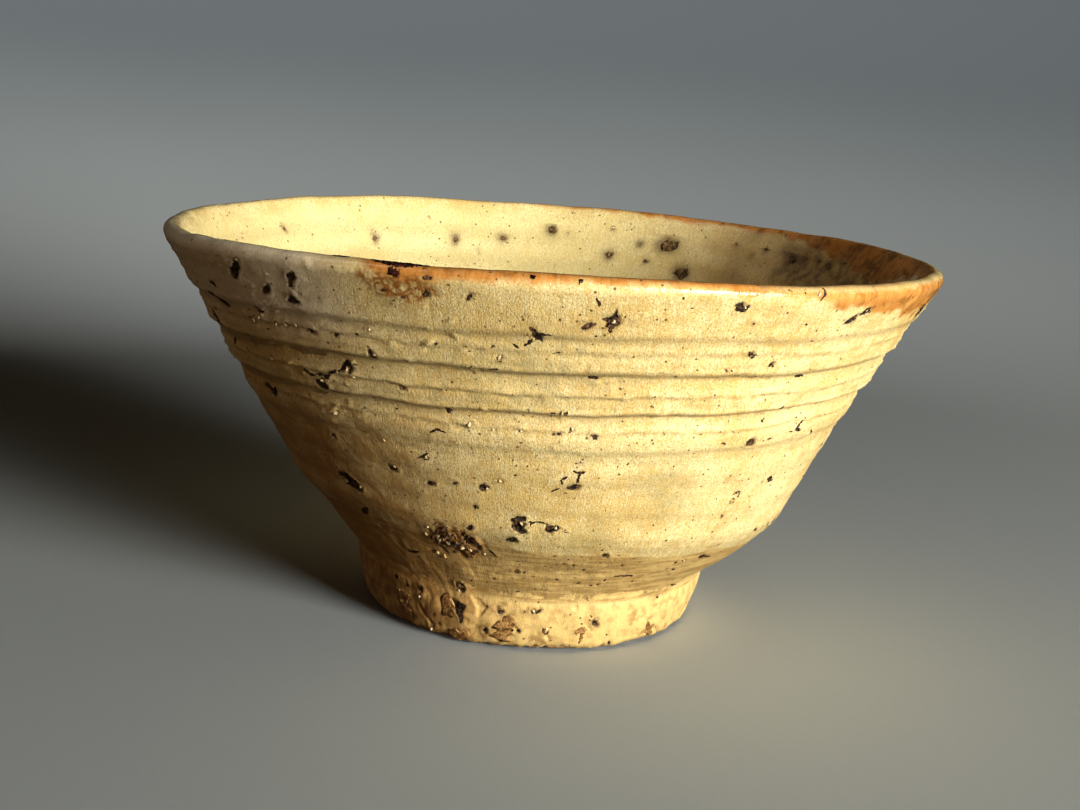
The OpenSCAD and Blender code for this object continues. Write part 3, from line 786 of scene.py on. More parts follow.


# Greenish patches in the outside glaze, and one broad painted shade on the upper front at (-2, 56, 14):
# (angle, height, size).
BLOTCHES_AND_SHADE = [
    (21.5, 38.5, 5), (25.5, 33, 5), (12, 25.6, 4.5), (-2, 56, 14), (130, 44, 8), (-120, 36, 9),
    (170, 56, 7),
]


def iron_flush(theta, s, depth, outside):
    """How much the lip's orange shows at a depth below the rim, 0 to 1."""
    reach = np.where(outside, round_table(FLUSH_OUTSIDE, theta), round_table(FLUSH_INSIDE, theta))
    waver = 0.7 * round_noise(theta, s, 3.0, 51) + 0.35 * round_noise(theta, s, 1.1, 52)
    flush = smooth((reach * (1 + 0.35 * waver) + 0.5 * waver - depth) / 1.1) * smooth(reach / 0.8)
    worn = 0.6 * right_side(theta, 22, 10) + 0.35 * right_side(theta, 45, 15)
    return flush * (1 - worn * smooth((1.2 + 0.4 * waver - depth) / 0.6) * outside)


def skin_tints_and_shade(theta, s, near, size):
    """The amounts, 0 to 1, that the glaze's material paints from: staining, painted shade and painted
    sheen.
    """
    z = np.interp(s, ALONG, PROFILE[:, 1])
    outside = s < S_TOP
    depth = TOP - z
    foot = on_foot(z)
    degrees = np.degrees(theta)
    left = -degrees
    # Painted shade: browner and darker on the outside's left below the middle, the side turned away from
    # the key light.
    shaded_left_below = smooth((left - 4) / 30) * (1 - smooth((left - 110) / 30)) * smooth((54 - z) / 22)
    # Paler, cooler glaze on the upper left: a milky glaze, and painted sheen of cool light.
    sheen_left_above = smooth((left - 20) / 16) * (1 - smooth((left - 100) / 40)) * smooth((z - 54) / 10)
    # The inside right wall faces away from the key light and lies in shade.
    shaded_inside_right = smooth(degrees / 30) * smooth((172 - degrees) / 40)
    network = np.hypot((degrees + 18.5) / 5.5, (z - 68.6) / 2.4) + 0.35 * round_noise(theta, s, 1.5, 53)
    # Darker on the inside right wall: a dark stain, and painted shade where that wall faces away from the
    # key light.
    dark_inside_right = np.hypot((degrees - 98) / 40, (depth - 8) / 10) + 0.5 * round_noise(theta, s, 4.0, 54)
    green_and_shade = sum(
        np.exp(-((degrees - angle) / wide) ** 2 - ((z - height) / (0.55 * wide)) ** 2)
        for angle, height, wide in BLOTCHES_AND_SHADE
    )
    pooled_and_shaded = throwing_rings(theta, z)[1] * outside
    scorched = np.where(outside, 0.06 + 0.14 * size, 0.25 + 0.4 * size)
    return {
        "flush": iron_flush(theta, s, depth, outside),
        "thin": outside * (1 - hip_edge(theta, z)) * (1 - foot),
        "foot": outside * foot,
        # Darker under the throwing ledges: glaze that gathers there, and painted shade.
        "hollow": np.clip(pooled_and_shaded, 0, 1) * (0.75 + 0.25 * round_noise(theta, s, 2.0, 55)),
        "scorch": np.exp(-np.maximum(near, 0) / scorched) * smooth(size / 1.1),
        "rust": outside * smooth((1.05 - network) / 0.35) + outside * grit_patch(theta, z),
        "soot_and_shade": (1 - outside) * smooth((1.2 - dark_inside_right) / 0.9),
        "painted_shade": outside * shaded_left_below + 0.4 * (1 - outside) * shaded_inside_right,
        "rim": hump(s, S_TOP, 3.0),
        "milky_and_sheen": outside * sheen_left_above,
        # A paler, more buttery inside glaze, mostly kept off the shaded inside right: partly painted
        # light on the lit inside wall.
        "inner": smooth((s - S_TOP) / 5) * (1 - 0.8 * shaded_inside_right),
        "blotch_and_shade": outside * np.clip(green_and_shade, 0, 1) * (0.7 + 0.3 * round_noise(theta, s, 1.2, 56)),
    }


# ---- meshes

def add_piece(name, points, faces, node, slot, normals=None, tints_and_shade=None, smooth_faces=True):
    mesh = bpy.data.meshes.new(name)
    mesh.from_pydata((points * MM).tolist(), [], faces)
    mesh.validate()
    mesh.polygons.foreach_set("use_smooth", [smooth_faces] * len(mesh.polygons))
    for label, values in (tints_and_shade or {}).items():
        layer = mesh.attributes.new(label, "FLOAT", "POINT")
        layer.data.foreach_set("value", np.clip(values, 0, 1).astype(np.float32))
    if normals is not None:
        mesh.normals_split_custom_set_from_vertices(normals.tolist())
    piece = bpy.data.objects.new(name, mesh)
    bpy.context.scene.collection.objects.link(piece)
    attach(piece, "root")
    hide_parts(node)
    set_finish(piece, slot)
    return piece


def ring_quads(rows, columns, start=0):
    """Faces of a grid closed round the bowl. They face out where its rows run up the outside."""
    i = np.arange(rows - 1)[:, None] * columns
    j = np.arange(columns)
    k = (j + 1) % columns
    return (start + np.stack([i + j, i + k, i + k + columns, i + j + columns], -1)).reshape(-1, 4)


def grid_normals(points):
    """Unit normals of a grid of points, its columns closed round the bowl."""
    around = np.roll(points, -1, axis=1) - np.roll(points, 1, axis=1)
    along = np.gradient(points, axis=0)
    normals = np.cross(around, along)
    return normals / (np.linalg.norm(normals, axis=-1)[..., None] + 1e-12)


PIT_STROKES = strokes_of(IRON_STROKES, at_height, 61, slim=0.8)
CRACK_PATHS = strokes_of(CRACK_STROKES, at_height, 62, slim=0.85)
GRAIN_PATHS = strokes_of(GRAIN_STROKES, at_height, 63)
SPOT_PATHS = strokes_of(SPOT_STROKES, below_rim, 64, slim=0.7)
ANGLES = angles_round(COLUMNS)


def pits_and_rims(near, size):
    """The pits that marks leave in the glaze and the raised rim round each, in mm."""
    pit = -(0.10 + 0.22 * np.minimum(size, 2)) * smooth((0.1 - near) / 0.35) * smooth(size / 0.5)
    rim = 0.10 * np.minimum(size, 1.6) * hump(near, 0.35, 0.35) * smooth(size / 0.5)
    return pit + rim


def shell_faces(rows, hidden, pole):
    """Faces of a closed coat: its grid, its hidden back, and what joins them below and at the end.

    The end is an edge, or a pole where the coat closes over the floor.
    """
    j = np.arange(COLUMNS)
    k = (j + 1) % COLUMNS
    first_hidden = rows * COLUMNS
    last, last_hidden = first_hidden - COLUMNS, (rows + hidden - 1) * COLUMNS
    front = ring_quads(rows, COLUMNS)
    back = ring_quads(hidden, COLUMNS, first_hidden)[:, ::-1]
    faces = [front, back, np.stack([k, j, first_hidden + j, first_hidden + k], -1)]
    if not pole:
        faces.append(np.stack([last + j, last + k, last_hidden + k, last_hidden + j], -1))
        return np.concatenate(faces).tolist()
    tip = last_hidden + COLUMNS + 0 * j
    over = np.stack([last + j, last + k, tip], -1)
    under = np.stack([last_hidden + k, last_hidden + j, tip + 1], -1)
    return np.concatenate(faces).tolist() + over.tolist() + under.tolist()


def coat(name, node, slot, row_s, marks, thickness=GLAZE, lower_edge=None, pole=False):
    """A closed coat of glaze over the rows row_s, with pits where the marks are."""
    rows = len(row_s)
    padded = np.concatenate([[2 * row_s[0] - row_s[1]], row_s, [2 * row_s[-1] - row_s[-2]]])
    theta, s = np.meshgrid(ANGLES, np.clip(padded, 0, S_END))
    if lower_edge is not None:
        start = lower_edge(ANGLES)[None, :]
        s = start + (s - s[0]) * (s[-1] - start) / (s[-1] - s[0])
    near, size = nearness(theta, s, marks)
    lift = pits_and_rims(near, size)
    if lower_edge is not None:
        lift = lift - 0.4 * (1 - smooth(np.arange(rows + 2)[:, None] / 4))
    points = surface(theta, s, lift)
    grids = (theta, s, near, size, points, grid_normals(points))
    theta, s, near, size, points, normals = (grid[1:-1] for grid in grids)
    back = np.unique(np.concatenate([np.arange(0, rows, 12), [rows - 1]]))
    hidden = surface(theta[back], s[back], -thickness)
    all_points = [points.reshape(-1, 3), hidden.reshape(-1, 3)]
    all_normals = [normals.reshape(-1, 3), -normals[back].reshape(-1, 3)]
    if pole:
        all_points.append(np.array([points[-1].mean(axis=0), hidden[-1].mean(axis=0)]))
        all_normals.append(np.array([[0, 0, 1.0], [0, 0, -1.0]]))
    tints_and_shade = {}
    for label, grid in skin_tints_and_shade(theta, s, near, size).items():
        tints_and_shade[label] = np.concatenate([grid.ravel(), grid[back].ravel(), np.zeros(2 if pole else 0)])
    faces = shell_faces(rows, len(back), pole)
    return add_piece(
        name, np.concatenate(all_points), faces, node, slot, np.concatenate(all_normals), tints_and_shade
    )


def wavy_foot_edge(theta):
    waves = 0.6 * round_noise(theta, theta * 0, 6.0, 71) + 0.3 * round_noise(theta, theta * 0, 1.5, 72)
    return 0.3 + np.maximum(waves, -0.3)


# Where the wall's rows stand closer together: (how much closer, height, width).
CLOSE_ROWS = ((1.3, 57, 2.2), (1.3, 49.8, 2.4), (0.5, 63, 1.6), (0.5, 52.8, 1.2), (0.5, 46.4, 1.2))


def wall_rows():
    """Rows up the wall, closer together where the throwing ledges are sharp."""
    even = np.linspace(S_HIP, S_BAND_OUT, 400)
    heights = np.interp(even, ALONG, PROFILE[:, 1])
    density = 1 + sum(closer * hump(heights, height, wide) for closer, height, wide in CLOSE_ROWS)
    share = np.cumsum(density)
    share = (share - share[0]) / (share[-1] - share[0])
    return np.interp(np.linspace(0, 1, COAT_ROWS), share, even)


def build_glaze():
    marks = PIT_STROKES + GRAIN_PATHS
    foot = np.linspace(0, S_NECK, 28)
    skirt = np.linspace(S_NECK, S_HIP, 42)
    lip = np.concatenate([np.linspace(S_BAND_OUT, S_TOP, 20), np.linspace(S_TOP, S_BAND_IN, 22)[1:]])
    inside = np.linspace(S_BAND_IN, S_END - 0.3, COAT_ROWS)
    return {
        "foot": coat(
            "foot_glaze_coat", "foot_glaze", "foot_glaze", foot, marks, THIN_COAT, wavy_foot_edge
        ),
        "skirt": coat("skirt_glaze_coat", "skirt_glaze", "skirt_glaze", skirt, marks, THIN_COAT),
        "wall": coat("wall_glaze_coat", "outer_glaze", "wall_glaze", wall_rows(), marks),
        "lip": coat("lip_glaze_coat", "lip_glaze", "lip_flush", lip, marks),
        "inside": coat("inside_glaze_coat", "inner_glaze", "inside_glaze", inside, SPOT_PATHS, pole=True),
    }


def turned_underside():
    """Radius and height of the clay's underside, from the middle out to the foot's inner wall."""
    r = np.linspace(0.4, WELL_R + 0.6, 46)
    return r, NUB_Z + (WELL_Z - NUB_Z) * smooth(r / NUB_R)


def build_clay():
    columns = 300
    r, z = turned_underside()
    theta, under_r = np.meshgrid(angles_round(columns), r)
    under_z = np.repeat(z[:, None], columns, 1)
    grooves = 0.22 * ripple(under_r, theta, 2.6) * smooth(under_r / 3)
    under_z = under_z + grooves + 0.3 * rough_noise(theta, under_r, 2.0, 81)
    under = ring_points(theta, under_r, under_z)
    skin_s = np.linspace(S_NECK - 1.5, S_END - 0.4, 90)
    theta, s = np.meshgrid(angles_round(columns), skin_s)
    skin = surface(theta, s, -GLAZE - CLAY_GAP)
    grid = np.concatenate([under, skin])
    points = np.concatenate([grid.reshape(-1, 3), [under[0].mean(axis=0), skin[-1].mean(axis=0)]])
    rows = len(grid)
    faces = ring_quads(rows, columns).tolist()
    poles = rows * columns
    last = (rows - 1) * columns
    for a in range(columns):
        b = (a + 1) % columns
        faces.append([b, a, poles])
        faces.append([last + a, last + b, poles + 1])
    return add_piece("clay_wall_and_floor", points, faces, "clay_body", "bare_clay")


def build_foot_ring():
    columns = 440
    corners = np.array([
        [FOOT_R - 0.3, 1.6], [NECK_R - 0.9, NECK_Z - 0.4], [WELL_R + 1, WELL_Z + 0.9],
        [WELL_R, WELL_Z - 0.2], [WELL_R + 0.1, 1.4], [WELL_R + 1.2, 0.1],
        [WELL_R + 2.4, 0], [FOOT_R - 1.8, 0], [FOOT_R - 0.7, 0.2],
    ])
    step = 0.45
    loop = []
    for a, b in zip(corners, np.roll(corners, -1, axis=0)):
        steps = max(2, int(np.linalg.norm(b - a) / step))
        loop += [a + (b - a) * t / steps for t in range(steps)]
    loop = np.array(loop)
    for _ in range(3):
        loop = (np.roll(loop, 1, axis=0) + 2 * loop + np.roll(loop, -1, axis=0)) / 4
    tangent = np.roll(loop, -1, axis=0) - np.roll(loop, 1, axis=0)
    out = np.stack([tangent[:, 1], -tangent[:, 0]], -1) / np.linalg.norm(tangent, axis=1)[:, None]
    theta, r = np.meshgrid(angles_round(columns), loop[:, 0])
    z = np.repeat(loop[:, 1][:, None], columns, 1)
    travelled = np.arange(len(loop))[:, None] * step + 0 * theta
    rough = foot_lumps(theta, z) - 0.1 + 0.18 * rough_noise(theta, travelled, 1.4, 82)
    chips = -0.9 * smooth((round_noise(theta, travelled * 0, 2.6, 83) - 0.35) / 0.4)
    rise = rough + chips * hump(r, FOOT_R - 0.4, 1.2) * hump(z, 0, 1.4)
    r, z = settle(theta, r + out[:, 0][:, None] * rise, z + out[:, 1][:, None] * rise)
    z = np.maximum(z, 0)
    points = ring_points(theta, r, z).reshape(-1, 3)
    faces = ring_quads(len(loop), columns)
    j = np.arange(columns)
    k = (j + 1) % columns
    last = (len(loop) - 1) * columns
    closing = np.stack([last + j, last + k, k, j], -1)
    faces = np.concatenate([faces, closing]).tolist()
    return add_piece("foot_ring_clay", points, faces, "foot_ring", "foot_clay")


def rock(rng, size):
    """A small angular stone: points and faces."""
    rows, columns = 5, 8
    points = [[0, 0, -1]]
    for i in range(1, rows):
        tip = math.pi * i / rows
        wide, low = math.sin(tip), -math.cos(tip)
        for j in range(columns):
            turn = TURN * j / columns
            points.append([wide * math.cos(turn), wide * math.sin(turn), low])
    points.append([0, 0, 1])
    points = np.array(points) * (1 + 0.3 * rng.uniform(-1, 1, (len(points), 1)))
    points *= size * rng.uniform(0.6, 1.3, 3)
    faces = []
    for j in range(columns):
        k = (j + 1) % columns
        faces.append([0, 1 + k, 1 + j])
        for i in range(rows - 2):
            low = 1 + i * columns
            faces.append([low + j, low + k, low + columns + k, low + columns + j])
        top = 1 + (rows - 2) * columns
        faces.append([top + j, top + k, len(points) - 1])
    return points, faces


def build_grit_patch():
    """The rough patch below the hip: small angular stones half sunk in the skirt."""
    rng = np.random.default_rng(91)
    all_points, all_faces = [], []
    base = 0
    while len(all_points) < GRIT_STONES:
        angle, height = rng.normal(GRIT_ANGLE, 3.6), rng.normal(GRIT_Z, 1.9)
        theta = np.array([math.radians(angle)])
        if grit_patch(theta, np.array([height]))[0] < 0.4:
            continue
        points, faces = rock(rng, 0.15 + 0.32 * rng.random() ** 2)
        centre = surface(theta, at_height(np.array([height])), -0.05)[0]
        turn = theta[0]
        x = points[:, 0] * math.cos(turn) - points[:, 1] * math.sin(turn)
        y = points[:, 0] * math.sin(turn) + points[:, 1] * math.cos(turn)
        all_points.append(centre + np.stack([x, y, points[:, 2]], -1))
        all_faces += [[v + base for v in f] for f in faces]
        base += len(points)
    points = np.concatenate(all_points)
    return add_piece(
        "brown_grit_stones", points, all_faces, "gritty_patch", "brown_grit", smooth_faces=False
    )


def build_marks():
    chips = strokes_of([dash(c) for c in PALE_CHIPS], at_height, 65)
    runs = strokes_of(FOOT_RUNS, at_height, 66)
    scars = strokes_of(LIP_SCARS, from_top, 67)
    # name, strokes, how far they stand out, their dome, how rough they are, node, slot
    kinds = (
        ("burst_iron_stones", PIT_STROKES, 0.04, -0.10, 1.0, "iron_bursts", "iron_stone"),
        ("crack_iron_veins", CRACK_PATHS, 0.04, 0.02, 0.5, "iron_cracks", "iron_crack"),
        ("pale_stone_grains", GRAIN_PATHS + chips, 0.06, 0.30, 0.35, "stone_grits", "pale_grit"),
        ("inside_iron_spots", SPOT_PATHS, 0.02, -0.06, 0.6, "inside_spots", "inside_spot"),
        ("foot_brown_runs", runs, 0.03, 0.03, 0.3, "foot_runs", "brown_run"),
        ("lip_iron_scars", scars, 0.05, 0.06, 0.4, "lip_scar", "iron_scar"),
    )
    made = {}
    for number, (name, strokes, rise, dome, rough, node, slot) in enumerate(kinds):
        points, faces = stroke_mesh(strokes, rise, dome, rough, 100 + number)
        made[node] = add_piece(name, points, faces, node, slot)
    return made


# ---- materials

PALE_GLAZE = (0.86, 0.735, 0.405)
DEEP_GLAZE = (0.70, 0.52, 0.21)
CREAM = (0.90, 0.82, 0.54)
BUTTER = (0.95, 0.86, 0.46)
# A paler, cooler glaze on the upper left, partly painted sheen.
MILK_AND_SHEEN = (0.95, 0.89, 0.76)
TEA = (0.56, 0.38, 0.14)
# The brown of staining, also used for painted shade under the ledges and low on the foot's left.
STAIN_AND_SHADE = (0.28, 0.15, 0.05)
FLUSH = (0.60, 0.25, 0.05)
SKIRT = (0.40, 0.25, 0.08)
FOOT = (0.74, 0.54, 0.23)
SCORCH = (0.10, 0.05, 0.018)
RUST = (0.34, 0.15, 0.035)
# Brown of the painted shade on the left below and on the inside right.
SHADE_BROWN = (0.46, 0.25, 0.07)
# Dark brown of the inside right: staining, and painted shade.
SOOT_AND_SHADE = (0.16, 0.09, 0.035)
ALGAE_AND_SHADE = (0.40, 0.34, 0.17)
IRON_GRAIN = (0.03, 0.015, 0.008)
PALE_GRAIN = (0.82, 0.76, 0.62)

# Iron, grit and brown glaze: the dark and the light colour, the tone where light
# begins, and the least and most roughness.
STONY = (
    ("iron_stone", (0.020, 0.011, 0.006), (0.19, 0.10, 0.045), 0.54, 0.6, 0.85),
    ("iron_crack", (0.02, 0.01, 0.006), (0.11, 0.055, 0.022), 0.55, 0.6, 0.8),
    ("inside_spot", (0.10, 0.055, 0.02), (0.28, 0.16, 0.06), 0.5, 0.4, 0.6),
    ("pale_grit", (0.44, 0.31, 0.14), (0.74, 0.62, 0.40), 0.45, 0.45, 0.7),
    ("brown_grit", (0.06, 0.03, 0.012), (0.28, 0.16, 0.06), 0.55, 0.5, 0.8),
    ("brown_run", (0.20, 0.095, 0.03), (0.46, 0.28, 0.11), 0.50, 0.3, 0.5),
    ("iron_scar", (0.012, 0.004, 0.003), (0.13, 0.022, 0.012), 0.58, 0.12, 0.3),
)


class Value:
    """A node's output. Sums, differences and products add the nodes that work them out."""

    def __init__(self, nodes, socket):
        self.nodes = nodes
        self.socket = socket

    def __add__(self, other):
        return self.nodes.math("ADD", self, other)

    def __sub__(self, other):
        return self.nodes.math("SUBTRACT", self, other)

    def __mul__(self, other):
        return self.nodes.math("MULTIPLY", self, other)


class Nodes:
    """Builds a material from nodes."""

    def __init__(self, name):
        self.material = bpy.data.materials.new(name)
        self.material.use_nodes = True
        self.tree = self.material.node_tree
        self.shader = self.tree.nodes["Principled BSDF"]
        self.mm = self.scaled(self.output("ShaderNodeTexCoord", "Object"), (1000, 1000, 1000))

    def output(self, kind, which, inputs=None, **settings):
        """Adds a node, sets it up and gives back one of its outputs."""
        node = self.tree.nodes.new(kind)
        for name, value in settings.items():
            setattr(node, name, value)
        for key, value in (inputs or {}).items():
            self.put(value, node.inputs[key])
        return Value(self, node.outputs[which])

    def put(self, value, socket):
        """Links a value to a socket, or sets a constant on it."""
        if isinstance(value, Value):
            self.tree.links.new(value.socket, socket)
        elif socket.type == "RGBA" and len(value) == 3:
            socket.default_value = (*value, 1)
        else:
            socket.default_value = value

    def math(self, operation, a, b):
        return self.output("ShaderNodeMath", 0, {0: a, 1: b}, operation=operation)

    def vector(self, operation, a, b=(0, 0, 0)):
        return self.output("ShaderNodeVectorMath", "Vector", {0: a, 1: b}, operation=operation)

    def scaled(self, place, factors):
        return self.vector("MULTIPLY", place, factors)

    def amount(self, label):
        """One of the skin's stains, 0 to 1."""
        return self.output("ShaderNodeAttribute", "Fac", attribute_name=label)

    def ramp(self, value, low, high, start=0.0, end=1.0):
        """value eased from start, at low, to end, at high."""
        inputs = dict(enumerate((value, low, high, start, end)))
        return self.output("ShaderNodeMapRange", 0, inputs, interpolation_type="SMOOTHSTEP")

    def mix(self, amount, a, b):
        """Colour a where amount is 0, and b where it is 1."""
        return self.output("ShaderNodeMix", 2, {0: amount, 6: a, 7: b}, data_type="RGBA")

    def noise(self, place, scale, detail):
        return self.output("ShaderNodeTexNoise", 0, {"Vector": place, "Scale": scale, "Detail": detail})

    def colour_noise(self, place, scale):
        return self.output("ShaderNodeTexNoise", 1, {"Vector": place, "Scale": scale})

    def cells(self, place, scale, feature):
        inputs = {"Vector": place, "Scale": scale}
        return self.output("ShaderNodeTexVoronoi", "Distance", inputs, feature=feature)

    def round_mm(self):
        """Millimetres round the bowl in X and Y, and up it in Z, so that streaks can follow the wall."""
        outward = self.vector("NORMALIZE", self.scaled(self.mm, (1, 1, 0)))
        upward = self.scaled(self.mm, (0.04, 0.04, 1))
        return self.vector("ADD", self.scaled(outward, (60, 60, 60)), upward)

    def finish(self, colour, roughness, height, depth_mm, **plain):
        self.put(colour, self.shader.inputs["Base Color"])
        self.put(roughness, self.shader.inputs["Roughness"])
        for name, value in plain.items():
            self.shader.inputs[name.replace("_", " ")].default_value = value
        inputs = {"Strength": 1.0, "Distance": depth_mm * MM, "Height": height}
        self.put(self.output("ShaderNodeBump", 0, inputs), self.shader.inputs["Normal"])
        return self.material


class Glaze(Nodes):
    """The patterns that the yellow glaze's colour, roughness and height share."""

    def __init__(self, name):
        super().__init__(name)
        self.skin = self.round_mm()
        self.clouds = self.noise(self.mm, 0.085, 3)
        self.patches = self.noise(self.mm, 0.55, 4)
        self.fibres = self.noise(self.scaled(self.skin, (2.6, 2.6, 0.32)), 1.0, 3)
        self.grain = self.noise(self.mm, 3.2, 3)
        self.veil = self.noise(self.scaled(self.skin, (0.12, 0.12, 0.3)), 1.0, 5)
        sway = self.scaled(self.colour_noise(self.skin, 1.2), (0.7, 0.7, 0.7))
        self.wander = self.vector("ADD", self.skin, sway)
        crazing = self.cells(self.scaled(self.wander, (2.1, 2.1, 0.85)), 1.0, "DISTANCE_TO_EDGE")
        self.lines = self.ramp(crazing, 0.0, 0.13, 1, 0)


def yellow_glaze(n):
    """The glaze's own colour, with its crazing."""
    tone = n.clouds * 0.9 + n.patches * 0.7 + n.fibres * 0.6
    colour = n.mix(n.ramp(tone, 0.86, 1.3), DEEP_GLAZE, PALE_GLAZE)
    colour = n.mix(n.ramp(n.grain, 0.5, 0.72, 0, 0.6), colour, CREAM)
    colour = n.mix(n.ramp(n.grain, 0.34, 0.48, 0.75, 0), colour, TEA)
    colour = n.mix(n.ramp(n.veil, 0.52, 0.7, 0, 0.4), colour, TEA)
    # Paler, more buttery inside glaze, less on the shaded inside right: partly painted light.
    colour = n.mix(n.amount("inner") * 0.45, colour, BUTTER)
    # Paler and cooler on the upper left: milky glaze, and painted sheen.
    colour = n.mix(n.amount("milky_and_sheen") * 0.6, colour, MILK_AND_SHEEN)
    return n.mix(n.lines * n.ramp(n.patches, 0.35, 0.65, 0.08, 0.32), colour, STAIN_AND_SHADE)


def thin_places(n, colour):
    """The thin coats on the skirt and the foot, where the clay shows through."""
    drag = n.noise(n.scaled(n.skin, (0.11, 0.11, 1.4)), 1.0, 4)
    dragged = n.mix(n.ramp(drag, 0.38, 0.62, 0.05, 0.7), SKIRT, FOOT)
    dragged = n.mix(n.ramp(n.patches, 0.54, 0.72, 0, 0.6), dragged, STAIN_AND_SHADE)
    colour = n.mix(n.ramp(n.amount("thin"), 0.1, 0.9, 0, 0.85), colour, dragged)
    worn = n.mix(n.ramp(n.patches, 0.42, 0.68), FOOT, STAIN_AND_SHADE)
    worn = n.mix(n.ramp(n.clouds, 0.4, 0.6, 0.1, 0.6), worn, FOOT)
    return n.mix(n.amount("foot"), colour, worn)


def tinted_and_shaded(n, colour):
    """What the kiln and long use left: brown and green staining, orange flush, soot and rust, with
    painted shade in the same browns: on the left below, under the ledges, low on the foot's left, on the
    inside right and on the upper front.
    """
    # Painted shade on the left below and on the inside right.
    painted_shade = n.amount("painted_shade") * n.ramp(n.veil, 0.35, 0.6, 0.5, 1)
    colour = n.mix(painted_shade * 0.78, colour, SHADE_BROWN)
    # Darker brown low on the foot's left: brown staining there, and painted shade near the floor.
    foot_dirt_and_shade = painted_shade * n.amount("foot") * n.ramp(n.patches, 0.38, 0.6, 0.35, 0.9)
    colour = n.mix(foot_dirt_and_shade, colour, STAIN_AND_SHADE)
    # Painted shade under the throwing ledges, over the brown of the glaze that gathers there.
    hollow = n.amount("hollow") * n.ramp(n.patches, 0.35, 0.6, 0.45, 1)
    colour = n.mix(hollow * 0.55, colour, STAIN_AND_SHADE)
    # Greenish patches, and a broad painted shade on the upper front.
    colour = n.mix(n.amount("blotch_and_shade") * n.ramp(n.patches, 0.35, 0.6, 0.3, 0.8), colour, ALGAE_AND_SHADE)
    flush = n.amount("flush") * n.ramp(n.fibres + n.patches * 0.6, 0.55, 0.95, 0.65, 1)
    burnt = n.mix(n.ramp(n.patches, 0.5, 0.66, 0, 0.7), FLUSH, RUST)
    colour = n.mix(flush * 0.96, colour, burnt)
    # Dark brown on the inside right: staining, and painted shade.
    colour = n.mix(n.amount("soot_and_shade") * n.ramp(n.patches, 0.35, 0.65, 0.35, 0.85), colour, SOOT_AND_SHADE)
    net = n.ramp(n.cells(n.wander, 0.9, "DISTANCE_TO_EDGE"), 0.04, 0.3, 1, 0.3)
    net = net * n.ramp(n.noise(n.mm, 0.8, 3), 0.36, 0.5, 0.3, 1)
    return n.mix(n.amount("rust") * net, colour, RUST)


def peppered(n, colour):
    """Small dark dots, and the scorched glaze round the iron stones."""
    dots = n.ramp(n.cells(n.mm, 0.62, "F1"), 0.10, 0.17, 1, 0)
    pepper = dots * n.ramp(n.noise(n.mm, 0.35, 1), 0.5, 0.56)
    colour = n.mix(pepper * 0.85, colour, SCORCH)
    return n.mix(n.amount("scorch") * 0.9, colour, SCORCH)


def glaze_material(name):
    """The yellow glaze. Every coat has the same recipe, so they match at their edges."""
    n = Glaze(name)
    colour = peppered(n, tinted_and_shaded(n, thin_places(n, yellow_glaze(n))))
    rim = n.amount("rim")
    rough = n.ramp(n.patches, 0.3, 0.7, 0.36, 0.52) - n.amount("flush") * 0.28 - rim * 0.3
    rough = rough - n.amount("milky_and_sheen") * 0.12 + n.amount("thin") * 0.2 + n.amount("foot") * 0.1
    height = n.fibres * 0.25 + n.grain * 0.7 - n.lines * 0.25
    height = height * n.math("SUBTRACT", 1.0, rim * 0.75)
    return n.finish(colour, rough, height, 0.09)


def clay_material(name, dark, light, wear):
    """Bare sandy clay with iron and pale grains. wear is how brown it has become."""
    n = Nodes(name)
    clouds = n.noise(n.mm, 0.12, 3)
    grain = n.noise(n.mm, 1.1, 5)
    colour = n.mix(n.ramp(clouds + grain, 0.75, 1.25), dark, light)
    stones = n.ramp(n.cells(n.mm, 0.9, "F1"), 0.12, 0.2, 1, 0)
    colour = n.mix(stones * n.ramp(n.noise(n.mm, 0.5, 1), 0.48, 0.54), colour, IRON_GRAIN)
    pale = n.cells(n.vector("ADD", n.mm, (17, 5, 9)), 0.55, "F1")
    chips = n.ramp(pale, 0.12, 0.18, 1, 0) * n.ramp(clouds, 0.46, 0.54)
    colour = n.mix(chips, colour, PALE_GRAIN)
    colour = n.mix(n.ramp(n.noise(n.mm, 0.3, 4), 0.5, 0.66, 0, wear), colour, STAIN_AND_SHADE)
    rough = n.ramp(grain, 0.35, 0.65, 0.95, 0.78)
    return n.finish(colour, rough, grain + chips * 0.3, 0.3)


def stone_material(name, dark, light, where, rough_low, rough_high):
    """Iron, grit or brown glaze: two colours in grains."""
    n = Nodes(name)
    grain = n.noise(n.mm, 2.4, 4)
    tone = grain * 0.7 + n.noise(n.mm, 0.6, 2) * 0.5
    colour = n.mix(n.ramp(tone, where, where + 0.22), dark, light)
    return n.finish(colour, n.ramp(grain, 0.35, 0.65, rough_low, rough_high), grain, 0.15)


def make_materials():
    glazes = ("wall_glaze", "inside_glaze", "lip_flush", "skirt_glaze", "foot_glaze")
    made = {name: glaze_material(name) for name in glazes}
    made["bare_clay"] = clay_material("bare_clay", (0.34, 0.21, 0.11), (0.52, 0.37, 0.22), 0.4)
    made["foot_clay"] = clay_material("foot_clay", (0.26, 0.15, 0.07), (0.50, 0.34, 0.19), 0.7)
    for name, *recipe in STONY:
        made[name] = stone_material(name, *recipe)
    return made


# ---- floor, light and camera

# The floor, in metres: how far it is flat, the bend's radius, and the wall's height.
FLAT = 0.25
BEND = 0.4
HIGH = 1.2

# The camera, in metres and degrees: its place, how far it looks down and leans,
# and its lens and frame in millimetres.
CAMERA_PLACE = (0, -0.2827, 0.0977)
CAMERA_PITCH = 11.87
CAMERA_ROLL = 3.95
LENS = 50
FRAME_WIDTH = 36


